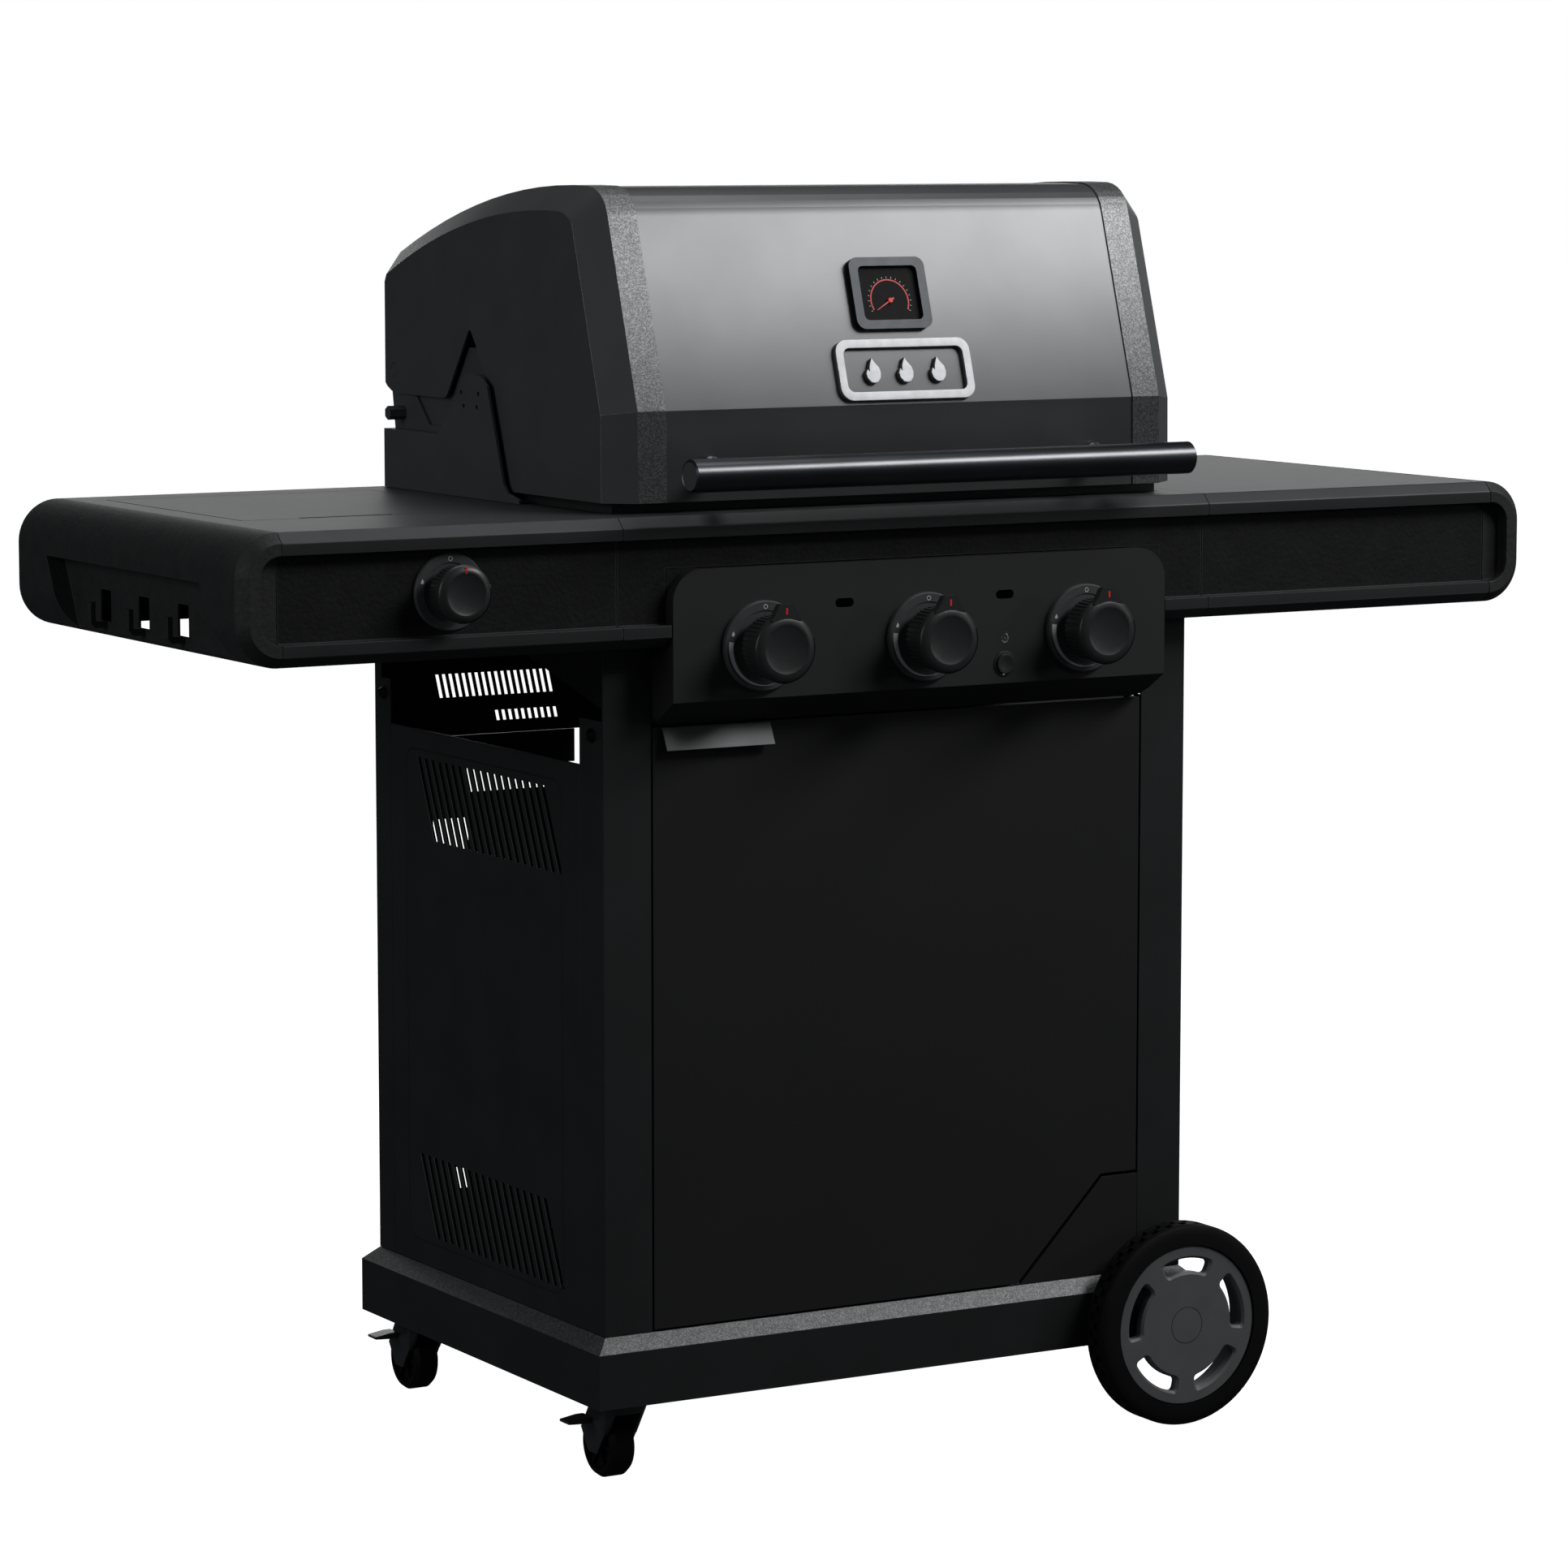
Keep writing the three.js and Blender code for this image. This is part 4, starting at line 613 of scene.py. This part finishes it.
# level faces of the shelves wear the sand coat, and the recessed fascia the leather grain, darkened as painted
# shade
def onConsole(face):
    if face.normal.z > 0.5:
        return 0
    recessed = face.normal.y < -0.9 and face.calc_center_median().y > consoleLow.y + fasciaDepth / 2 * mm
    return 1 if recessed else 2


for node in ("console_centre", "shelf_left", "shelf_right"):
    easedCopy(node, 0.9, ("sandCoat", "fasciaGrain", "powderCoat"), choose=onConsole)
for node in ("end_cap_left", "end_cap_right"):
    easedCopy(node, 1.6, "grainedPlastic", segments=3, smooth=45)
easedCopy("control_panel", 1.1, "panelCoat", segments=3)
# small plates carry the fascia on behind the panel's rounded corners
cornerFill = {"size": 30, "gap": 0.6, "thick": 2}
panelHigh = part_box("control_panel")[1]
bm = bmesh.new()
for side in (-1, 1):
    ends = sorted(side * (panelHigh.x + step * mm) for step in (-cornerFill["size"], cornerFill["gap"]))
    brick(bm, (ends[0], fasciaFace, panelHigh.z - cornerFill["size"] * mm),
          (ends[1], fasciaFace + cornerFill["thick"] * mm, panelHigh.z + cornerFill["gap"] * mm))
# the plates wear the fascia grain darkened as painted shade
finishPiece("panelCornerFills", bm, "frame", "fasciaGrain")
easedCopy("side_burner_lid", 0.5, "sandCoat")
easedCopy("side_burner_grate", 1.6, "castIron")
easedCopy("cooking_grate", 1.8, "castIron")
print("console made")

knobLook = {"radius": 30, "sideRadius": 25, "dish": 21.3, "collar": 9.0, "gripIn": 3.3, "bore": 4.3,
            "socket": 12, "lugWide": 30, "lugNarrow": 15, "lugReach": 9.5, "lugThick": 7.0, "markWide": 1.8,
            "markLong": 5.5, "ribs": 40, "ribDeep": 1.3, "ribWide": 2.0, "insertFrom": -98, "insertTo": 18}
bezelLook = {"radius": 39.8, "sideRadius": 33.5, "proud": 5.8, "sideProud": 3.4, "ease": 1.2, "bore": 9,
             "markIn": 5.2, "markSink": 0.12, "markThick": 0.3, "flameAt": 160,
             "stripFrom": 172, "stripSweep": 118, "stripHalf": 2.34, "stripSteps": 24}


# body, lug, red line, gloss insert and knurl of one knob
def makeKnob(station, radius, hasLug):
    k = knobLook
    body = "knob_" + station
    low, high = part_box(body)
    centre = Vector(((low.x + high.x) / 2, 0, low.z + radius))
    front, back = low.y, high.y
    grip = radius - k["gripIn"] * mm
    dish = radius * k["dish"] / k["radius"]
    bore = k["bore"] * mm
    socket = back - k["socket"] * mm
    collarBack = front + k["collar"] * mm
    bm = bmesh.new()
    turn(bm, [(0, front + 2.6 * mm), (dish * 0.5, front + 2.2 * mm), (dish * 0.85, front + 1.2 * mm),
              (dish, front + 0.3 * mm), (dish + 0.8 * mm, front), (radius - 4 * mm, front + 0.5 * mm),
              (radius - 0.9 * mm, front + 2.4 * mm), (radius, front + 4.2 * mm), (radius, collarBack - mm),
              (radius - mm, collarBack), (grip, collarBack), (grip, back - 0.8 * mm),
              (grip - 0.8 * mm, back), (bore, back), (bore, socket), (0, socket)],
         centre, sides=96)
    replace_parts(finishPiece("knobBody_" + station, bm, body, "knobNylon", smooth=40), body)
    if hasLug:
        wide, narrow = k["lugWide"] / 2 * mm, k["lugNarrow"] / 2 * mm
        top = radius + k["lugReach"] * mm
        points = [(-wide - 1.0 * mm, radius - 5 * mm), (wide + 1.0 * mm, radius - 5 * mm),
                  (wide - 3 * mm, radius - 0.5 * mm), (narrow, top - 1.5 * mm), (narrow - 1.8 * mm, top),
                  (-narrow + 1.8 * mm, top), (-narrow, top - 1.5 * mm), (-wide + 3 * mm, radius - 0.5 * mm)]
        bm = bmesh.new()
        plate(bm, points, k["lugThick"] * mm,
              Matrix.Translation(centre + Vector((0, front + 0.8 * mm, 0))))
        roundEdges(bm, 0.9 * mm, 2, 30)
        finishPiece("knobLug_" + station, bm, body, "knobNylon")
    markLow = radius + 0.5 * mm if hasLug else radius - 7.5 * mm
    markFront = front + (0.5 if hasLug else 0.1) * mm
    bm = bmesh.new()
    half, markHigh = k["markWide"] / 2 * mm, markLow + k["markLong"] * mm
    plate(bm, [(-half, markLow), (half, markLow), (half, markHigh), (-half, markHigh)], 1.2 * mm,
          Matrix.Translation(centre + Vector((0, markFront, 0))))
    finishPiece("knobMark_" + station, bm, body, "redPrint")
    bm = bmesh.new()
    inner, outer = radius - 4.6 * mm, radius + 0.25 * mm
    turn(bm, [(inner, front + 0.9 * mm), (outer - 0.8 * mm, front + 2.2 * mm), (outer, front + 4.1 * mm),
              (outer, collarBack + 0.2 * mm), (inner, collarBack + 0.2 * mm), (inner, front + 0.9 * mm)],
         centre, sides=28, start=k["insertFrom"], sweep=k["insertTo"] - k["insertFrom"])
    finishPiece("knobInsert_" + station, bm, body, "glossInsert", smooth=30)
    length = back - 1.5 * mm - collarBack
    grownPiece("knobKnurl_" + station, ringTree,
               {"Count": k["ribs"], "Radius": grip, "Step": 360 / k["ribs"], "Radial": 2 * k["ribDeep"] * mm,
                "Along": length, "Tangent": k["ribWide"] * mm, "Finish": material["knobNylon"]},
               Matrix.Translation(centre + Vector((0, collarBack + length / 2, 0))), body)
    return centre


def flameOutline(size):
    shape = [(0, 1), (0.16, 0.72), (0.42, 0.42), (0.5, 0.1), (0.44, -0.22), (0.22, -0.46), (0, -0.5),
             (-0.22, -0.46), (-0.44, -0.22), (-0.5, 0.08), (-0.36, 0.36), (-0.26, 0.2), (-0.2, 0.56)]
    return [(u * size, v * size) for u, v in shape]


# a turned ring behind the knob, with an off mark, a flame and a tapering strip for the settings
def makeBezel(station, centre, panelFace, radius, hasStrip):
    b = bezelLook
    front = panelFace - (b["proud"] if hasStrip else b["sideProud"]) * mm
    back = panelFace - 0.1 * mm
    bm = bmesh.new()
    turn(bm, [(b["bore"] * mm, back), (b["bore"] * mm, front + mm), (radius - 9 * mm, front + mm),
              (radius - 8.4 * mm, front), (radius - b["ease"] * mm, front),
              (radius, front + b["ease"] * mm), (radius, back), (b["bore"] * mm, back)],
         centre, sides=96)
    # the bezel's lighter grey is partly painted light on its lit face
    finishPiece("bezel_" + station, bm, "frame", "bezelNylon", smooth=25)
    ring = radius - b["markIn"] * mm
    face, thick = front - b["markSink"] * mm, b["markThick"] * mm
    bm = bmesh.new()
    turn(bm, [(1.5 * mm, 0), (2.1 * mm, 0), (2.1 * mm, thick), (1.5 * mm, thick), (1.5 * mm, 0)],
         centre + Vector((0, face, ring)), sides=24)
    flameAt = math.radians(b["flameAt"])
    plate(bm, flameOutline(3.0 * mm), thick, Matrix.Translation(
        centre + Vector((ring * math.cos(flameAt), face, ring * math.sin(flameAt) - 0.6 * mm))))
    if hasStrip:
        outer, inner = [], []
        for i in range(b["stripSteps"] + 1):
            share = i / b["stripSteps"]
            angle = math.radians(b["stripFrom"] + b["stripSweep"] * share)
            half = b["stripHalf"] * (1 - share) * mm
            outer.append(((ring + half) * math.cos(angle), (ring + half) * math.sin(angle)))
            inner.append(((ring - half) * math.cos(angle), (ring - half) * math.sin(angle)))
        plate(bm, outer + inner[-2::-1], thick, Matrix.Translation(centre + Vector((0, face, 0))))
    finishPiece("bezelMarks_" + station, bm, "frame", "greyPrint")


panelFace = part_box("control_panel")[0].y
for station in ("left", "centre", "right"):
    makeBezel(station, makeKnob(station, knobLook["radius"] * mm, True), panelFace,
              bezelLook["radius"] * mm, True)
makeBezel("side", makeKnob("side", knobLook["sideRadius"] * mm, False), fasciaFace,
          bezelLook["sideRadius"] * mm, False)

# igniter: a dished button in a thin collar, with a flame above it
igniterLow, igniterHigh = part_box("igniter_button")
igniterCentre = Vector(((igniterLow.x + igniterHigh.x) / 2, 0, (igniterLow.z + igniterHigh.z) / 2))
bm = bmesh.new()
tip = igniterLow.y
turn(bm, [(0, tip + 0.9 * mm), (5 * mm, tip + 0.6 * mm), (7.6 * mm, tip), (8.6 * mm, tip + 0.2 * mm),
          (9.3 * mm, tip + mm), (9.3 * mm, igniterHigh.y), (0, igniterHigh.y)], igniterCentre, sides=48)
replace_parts(finishPiece("igniterCap", bm, "igniter_button", "knobNylon"), "igniter_button")
bm = bmesh.new()
turn(bm, [(9.8 * mm, panelFace - 0.1 * mm), (9.8 * mm, panelFace - mm), (11.3 * mm, panelFace - 0.7 * mm),
          (11.8 * mm, panelFace - 0.1 * mm), (9.8 * mm, panelFace - 0.1 * mm)], igniterCentre, sides=48)
finishPiece("igniterCollar", bm, "frame", "knobNylon")
bm = bmesh.new()
flame = flameOutline(7.4 * mm)
flameAt = Matrix.Translation(igniterCentre + Vector((0, panelFace - 0.15 * mm, 22.5 * mm)))
for grow, shift in ((1.0, 0), (0.42, -1.2 * mm)):
    outer = [(u * grow, v * grow + shift) for u, v in flame]
    inner = [(u * grow * 0.8, v * grow * 0.84 + shift) for u, v in flame]
    for i in range(len(outer)):
        j = (i + 1) % len(outer)
        plate(bm, [outer[i], outer[j], inner[j], inner[i]], 0.3 * mm, flameAt)
finishPiece("igniterFlame", bm, "frame", "greyPrint")
print("controls made")


easedCopy("hood_skin", 0.8, "graphiteEnamel", smooth=30, above=12, bow=hoodBow)


# the hood's ends: flake enamel on the band, plain coat on the bevel and the side
def onBand(face):
    centre = face.calc_center_median()
    return 0 if abs(centre.x) < bandEdge * mm and abs(face.normal.x) < 0.35 else 1


bandEdge = 271.8      # the bevel begins here, from the middle of the hood
for node in ("hood_end_left", "hood_end_right"):
    easedCopy(node, 2.4, ("flakeEnamel", "slateCoat"), segments=3, smooth=30, above=12, choose=onBand,
              bow=hoodBow)

handleLook = {"radius": 14.6, "ease": 1.2, "groove": 1.8, "endCap": 2.2, "post": 8.0, "foot": 12.0,
              "postAt": 200}
low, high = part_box("hood_handle")
handleRadius = handleLook["radius"] * mm
handleCentre = Vector((0, low.y + handleRadius, (low.z + high.z) / 2))
bm = bmesh.new()
ease = handleLook["ease"] * mm
groove, endCap = handleRadius - handleLook["groove"] * mm, handleRadius - handleLook["endCap"] * mm
turn(bm, [(0, low.x), (endCap, low.x), (groove, low.x + 0.4 * mm), (handleRadius - ease, low.x),
          (handleRadius, low.x + ease), (handleRadius, high.x - ease), (handleRadius - ease, high.x),
          (groove, high.x - 0.4 * mm), (endCap, high.x), (0, high.x)],
     handleCentre, axis="X", sides=96)
for face in bm.faces:      # the pressed-in ends are plain satin, not polished like the tube
    face.normal_update()
    face.material_index = 1 if abs(face.normal.x) > 0.95 else 0
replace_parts(finishPiece("handleTube", bm, "hood", ("blackNickel", "pullCoat")), "hood_handle")
for side, name in ((-1, "handlePostLeft"), (1, "handlePostRight")):
    bm = bmesh.new()
    r, foot = handleLook["post"] * mm, handleLook["foot"] * mm
    turn(bm, [(0, handleCentre.y), (r, handleCentre.y), (r, high.y - 7 * mm), (foot, high.y - 3 * mm),
              (foot, high.y), (0, high.y)],
         Vector((side * handleLook["postAt"] * mm, 0, handleCentre.z)), sides=40)
    finishPiece(name, bm, "hood", "blackNickel")

# gauge: framed window, card, scale and needle, all leaning with the hood's face
hub, facing = jointPlace("gauge_needle_turn")
lean = Matrix.Rotation(-math.atan2(facing.z, -facing.y), 4, "X")
onGauge = Matrix.Translation(hub) @ lean
easedCopy("gauge_housing", 1.5, "frameZinc", segments=3)
gaugeLook = {"cardWide": 60.6, "cardTall": 49.6, "hubBelow": 6.5, "cardBehind": 1.45, "cardThick": 0.15,
             "scale": 19.5, "from": 205, "sweep": 230, "ticks": 19, "arcSteps": 48}
bm = bmesh.new()
plate(bm, roundedOutline(gaugeLook["cardWide"] * mm, gaugeLook["cardTall"] * mm, 5 * mm),
      gaugeLook["cardThick"] * mm,
      onGauge @ Matrix.Translation((0, gaugeLook["cardBehind"] * mm, gaugeLook["hubBelow"] * mm)))
finishPiece("gaugeCard", bm, "hood", "dialCard")
onCard = onGauge @ Matrix.Translation((0, (gaugeLook["cardBehind"] - gaugeLook["cardThick"]) * mm, 0))
grownPiece("gaugeTicks", ringTree,
           {"Count": gaugeLook["ticks"], "Radius": (gaugeLook["scale"] + 2.2) * mm,
            "Start": float(gaugeLook["from"]), "Step": -gaugeLook["sweep"] / (gaugeLook["ticks"] - 1),
            "Radial": 1.6 * mm, "Along": 0.2 * mm, "Tangent": 0.5 * mm, "Finish": material["greyPrint"]},
           onCard, "hood")
bm = bmesh.new()
scaleEnd, steps = gaugeLook["from"] - gaugeLook["sweep"], gaugeLook["arcSteps"]
arc = arcPoints((0, 0), (gaugeLook["scale"] + 0.5) * mm, scaleEnd, gaugeLook["from"], steps)
arc += arcPoints((0, 0), (gaugeLook["scale"] - 0.7) * mm, gaugeLook["from"], scaleEnd, steps)
plate(bm, arc, 0.2 * mm, onCard)
finishPiece("gaugeArc", bm, "hood", "redPrint")
needleLook = {"rest": 210, "reach": 17.5, "tail": 4.5, "hub": 2.6, "root": 0.9, "tip": 0.25}
bm = bmesh.new()
swing = math.radians(needleLook["rest"])
tail, reach, root, tip = (needleLook[key] * mm for key in ("tail", "reach", "root", "tip"))
needle = [(-tail, -root), (reach, -tip), (reach, tip), (-tail, root)]
needle = [(u * math.cos(swing) - v * math.sin(swing), u * math.sin(swing) + v * math.cos(swing))
          for u, v in needle]
plate(bm, needle, 0.4 * mm, onGauge)
hubRadius = needleLook["hub"] * mm
hubMesh = bmesh.new()
turn(hubMesh, [(0, -0.7 * mm), (hubRadius * 0.8, -0.7 * mm), (hubRadius, 0), (hubRadius, 0.5 * mm),
               (0, 0.5 * mm)], (0, 0, 0), sides=24)
hubMesh.transform(onGauge)
finishPiece("needleHub", hubMesh, "gauge_needle", "redPrint")
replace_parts(finishPiece("needlePointer", bm, "gauge_needle", "redPrint"), "gauge_needle")

# plain badge: a rounded frame round three small flames, set a little into the hood's face
badge = {"wide": 140, "tall": 56, "bar": 8, "thick": 4.5, "below": 70, "across": 4, "faceBehind": 3.6,
         "sunk": 0.2, "corner": 12, "flames": 34, "flameSize": 15.5, "flameDrop": 4.5}
onFace = onGauge @ Matrix.Translation((badge["across"] * mm,
                                       (badge["faceBehind"] - badge["sunk"] - badge["thick"]) * mm,
                                       (gaugeLook["hubBelow"] - badge["below"]) * mm))
bm = bmesh.new()
outer = roundedOutline(badge["wide"] * mm, badge["tall"] * mm, badge["corner"] * mm)
inner = roundedOutline((badge["wide"] - 2 * badge["bar"]) * mm, (badge["tall"] - 2 * badge["bar"]) * mm,
                       (badge["corner"] - badge["bar"] * 0.7) * mm)
rings = []
for points, depth in ((outer, badge["thick"]), (outer, 0), (inner, 0), (inner, badge["thick"])):
    rings.append([bm.verts.new(onFace @ Vector((u, depth * mm, v))) for u, v in points])
for first, second in zip(rings, rings[1:] + rings[:1]):
    bridge(bm, first, second)
for step in (-1, 0, 1):
    plate(bm, flameOutline(badge["flameSize"] * mm), badge["thick"] * mm,
          onFace @ Matrix.Translation((step * badge["flames"] * mm, 0, -badge["flameDrop"] * mm)))
bmesh.ops.recalc_face_normals(bm, faces=bm.faces)
roundEdges(bm, 0.7 * mm, 2, 30)
finishPiece("hoodBadge", bm, "hood", "satinNickel")

for node in ("hinge_bracket_left", "hinge_bracket_right"):
    easedCopy(node, 0.7, "slateCoat")
guard = {"at": 288.4, "thick": 2, "front": 20, "rear": 205, "top": 1000, "lift": 0.5}
for side, name in ((-1, "sideGuardLeft"), (1, "sideGuardRight")):    # plates behind the notches
    middle, half = side * guard["at"] * mm, guard["thick"] / 2 * mm
    bm = bmesh.new()
    brick(bm, (middle - half, guard["front"] * mm, consoleHigh.z + guard["lift"] * mm),
          (middle + half, guard["rear"] * mm, guard["top"] * mm))
    roundEdges(bm, 0.5 * mm, 1)
    finishPiece(name, bm, "frame", "slateCoat")
pivot = jointPlace("hood_hinge")[0]
pivotDish = {"face": 295.2, "inner": 6.8, "crest": 9.5, "brow": 11, "outer": 11.8, "high": 0.9, "low": 0.7}
for side, name in ((-1, "pivotDishLeft"), (1, "pivotDishRight")):
    bm = bmesh.new()
    face = side * pivotDish["face"] * mm
    turn(bm, [(pivotDish["inner"] * mm, face),
              (pivotDish["crest"] * mm, face + side * pivotDish["high"] * mm),
              (pivotDish["brow"] * mm, face + side * pivotDish["low"] * mm),
              (pivotDish["outer"] * mm, face), (pivotDish["inner"] * mm, face)],
         Vector((0, pivot.y, pivot.z)), axis="X", sides=40)
    finishPiece(name, bm, "hood", "slateCoat")
print("hood made")


tyreLook = {"bore": 75.3, "blocks": 38, "groove": 3.0, "blockWide": 8.5, "blockAlong": 7.4, "rows": 7.8}
rimLook = {"lip": 73.6, "outer": 75, "inner": 67, "hub": 20, "hubGroove": 16.7, "bore": 4.4, "web": 9,
           "slots": 5, "slotIn": 50, "slotOut": 63, "slotHalf": 25, "round": 4, "ease": 2.2}


# one slot of the rim, as (radius, degrees) pairs round it, wider by grow all the way round
def slotLoop(middle, grow):
    k = rimLook
    inside, outside, corner = k["slotIn"] - grow, k["slotOut"] + grow, k["round"] + grow * 0.5
    half = k["slotHalf"] + math.degrees(grow / 56)
    quarter = []
    for edge, out in ((outside, True), (inside, False)):
        for i in range(5):
            a = math.radians(22.5 * i if out else 90 - 22.5 * i)
            inward = corner - corner * math.cos(a)
            quarter.append((edge - inward if out else edge + inward,
                            half - math.degrees((corner - corner * math.sin(a)) / edge)))
    outer = [(outside, -quarter[0][1] + 2 * quarter[0][1] * i / 10) for i in range(1, 10)]
    inner = [(inside, quarter[-1][1] - 2 * quarter[-1][1] * i / 10) for i in range(1, 10)]
    other = [(r, -a) for r, a in quarter[::-1]]
    return [(r * mm, math.radians(middle + a)) for r, a in [*outer, *quarter, *inner, *other]]


def makeRim(end, centre, face, out):
    k = rimLook
    body = "wheel_" + end
    bm = bmesh.new()

    def ring(pairs, depth):
        return [bm.verts.new(centre + Vector((r * math.cos(a), face - out * depth * mm, r * math.sin(a))))
                for r, a in pairs]

    def circle(radius):
        return [(radius * mm, 2 * math.pi * i / 96) for i in range(96)]

    def fill(loops):
        edges = []
        for loop in loops:
            edges += [bm.edges.new((loop[i], loop[(i + 1) % len(loop)])) for i in range(len(loop))]
        bmesh.ops.triangle_fill(bm, edges=edges, use_beauty=True, use_dissolve=False)

    middles = [-54 + 360 / k["slots"] * i for i in range(k["slots"])]
    fill([ring(circle(k["lip"]), 0)] + [ring(slotLoop(a, k["ease"]), 0) for a in middles])
    fill([ring(circle(k["inner"]), k["web"]), ring(circle(k["hub"]), k["web"])]
         + [ring(slotLoop(a, 0), k["web"]) for a in middles])
    for a in middles:
        bridge(bm, ring(slotLoop(a, k["ease"]), 0), ring(slotLoop(a, 0), k["ease"]))
        bridge(bm, ring(slotLoop(a, 0), k["ease"]), ring(slotLoop(a, 0), k["web"]))
    y = [face - out * d * mm for d in (0, 1.4, 7, k["web"], 27)]
    turn(bm, [(k["lip"] * mm, y[0]), (k["outer"] * mm, y[1]), (k["outer"] * mm, y[4]),
              (k["inner"] * mm, y[4]), (k["inner"] * mm, y[3])], centre, sides=96)
    turn(bm, [(k["hub"] * mm, y[3]), (k["hub"] * mm, y[4]), (k["bore"] * mm, y[4]), (k["bore"] * mm, y[2]),
              (0, y[2])], centre, sides=96)
    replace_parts(finishPiece("wheelRim_" + end, bm, body, "wheelPlastic", smooth=28),
                "wheel_rim_" + end)


for end, out in (("front", -1), ("rear", 1)):
    body = "wheel_" + end
    low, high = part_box("tyre_" + end)
    radius = (high.x - low.x) / 2
    centre = Vector(((low.x + high.x) / 2, 0, (low.z + high.z) / 2))
    face, back = (low.y, high.y) if out < 0 else (high.y, low.y)
    rim = tyreLook["bore"] * mm
    bm = bmesh.new()
    depth = tyreLook["groove"] * mm
    half = [(rim, 0), (radius - 9 * mm, 0), (radius - 3 * mm, 0.9 * mm), (radius - 0.9 * mm, 2.4 * mm),
            (radius, 4.4 * mm), (radius, 7 * mm), (radius - depth, 7.8 * mm)]
    profile = [(r, face - out * d) for r, d in half] + [(r, back + out * d) for r, d in half[::-1]]
    turn(bm, [*profile, profile[0]], centre, sides=96)
    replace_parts(finishPiece("tyreBody_" + end, bm, body, "treadPlastic", smooth=30),
                "tyre_" + end)
    for row, name, shift in ((-0.5, "tyreLugsFront_", 0.0), (0.5, "tyreLugsBack_", 180 / tyreLook["blocks"])):
        shoulder = (face + back) / 2 + row * tyreLook["rows"] * mm
        grownPiece(name + end, ringTree,
                   {"Count": tyreLook["blocks"], "Radius": radius - depth / 2 - 0.1 * mm,
                    "Step": 360 / tyreLook["blocks"], "Start": shift, "Radial": depth,
                    "Along": tyreLook["blockAlong"] * mm, "Tangent": tyreLook["blockWide"] * mm,
                    "Finish": material["treadPlastic"]},
                   Matrix.Translation(centre + Vector((0, shoulder, 0))), body)
    rimLow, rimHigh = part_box("wheel_rim_" + end)
    rimFace = rimLow.y if out < 0 else rimHigh.y
    makeRim(end, centre, rimFace, out)
    bm = bmesh.new()      # a fine groove round the hub cap
    inside, outside = rimLook["hubGroove"] * mm, (rimLook["hubGroove"] + 0.5) * mm
    near, deep = rimFace + out * 0.05 * mm, rimFace - out * 0.3 * mm
    turn(bm, [(inside, near), (outside, near), (outside, deep), (inside, deep), (inside, near)],
         centre, sides=96)
    finishPiece("hubGroove_" + end, bm, body, "treadPlastic")

casterLook = {"bore": 3.3, "hub": 7, "rim": 7, "ease": 3, "shoulder": 4, "inset": 5, "spokes": 3,
              "spokeThick": 2.6, "spokeIn": 1}
for end in ("front", "rear"):
    easedCopy("caster_yoke_" + end, 1.6, "knobNylon", segments=3, smooth=50, name="casterYoke_" + end)
    easedCopy("brake_lever_" + end, 0.9, "knobNylon", name="brakeLever_" + end)
    low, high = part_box("caster_wheel_" + end)
    radius = (high.z - low.z) / 2
    centre = Vector((0, (low.y + high.y) / 2, low.z + radius))
    bore, hubOut, inset = (casterLook[key] * mm for key in ("bore", "hub", "inset"))
    rim, ease = radius - casterLook["rim"] * mm, radius - casterLook["ease"] * mm
    shoulder = casterLook["shoulder"] * mm
    bm = bmesh.new()
    turn(bm, [(bore, low.x), (hubOut, low.x), (hubOut, low.x + inset), (rim, low.x + inset), (rim, low.x),
              (ease, low.x), (radius, low.x + shoulder), (radius, high.x - shoulder), (ease, high.x),
              (rim, high.x), (rim, high.x - inset), (hubOut, high.x - inset), (hubOut, high.x),
              (bore, high.x), (bore, low.x)], centre, axis="X", sides=64)
    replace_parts(finishPiece("casterWheel_" + end, bm, "caster_wheel_" + end, "treadPlastic"),
                "caster_wheel_" + end)
    bm = bmesh.new()
    for i in range(casterLook["spokes"]):
        spoke = bmesh.ops.create_cube(bm, size=1)["verts"]
        for vert in spoke:
            vert.co = Vector((vert.co.x * (high.x - low.x - 2 * casterLook["spokeIn"] * mm),
                              vert.co.y * 2 * (radius - inset), vert.co.z * casterLook["spokeThick"] * mm))
        bmesh.ops.rotate(bm, verts=spoke, cent=(0, 0, 0),
                         matrix=Matrix.Rotation(math.pi / casterLook["spokes"] * i, 3, "X"))
    bm.transform(Matrix.Translation(Vector(((low.x + high.x) / 2, centre.y, centre.z))))
    bmesh.ops.recalc_face_normals(bm, faces=bm.faces)
    finishPiece("casterSpokes_" + end, bm, "caster_wheel_" + end, "treadPlastic",
                outward=False)
print("running gear made")

# two screws hold each side panel to its posts, near the top
screwLook = {"radius": 6.5, "height": 3, "panelFace": 305.2, "lift": 1.2, "level": 672,
             "along": (-187.3, 224.7)}
for side, name in ((-1, "sideScrewsLeft"), (1, "sideScrewsRight")):
    stand = side * (screwLook["panelFace"] + screwLook["lift"]) * mm
    points = [(stand, y * mm, screwLook["level"] * mm) for y in screwLook["along"]]
    grownPiece(name, screwTree,
               {"Radius": screwLook["radius"] * mm, "Height": screwLook["height"] * mm, "Axis": (side, 0, 0),
                "Finish": material["blackOxide"], "RecessShade": material["glossInsert"]},
               Matrix.Identity(4), "frame", points)
print("screws made")
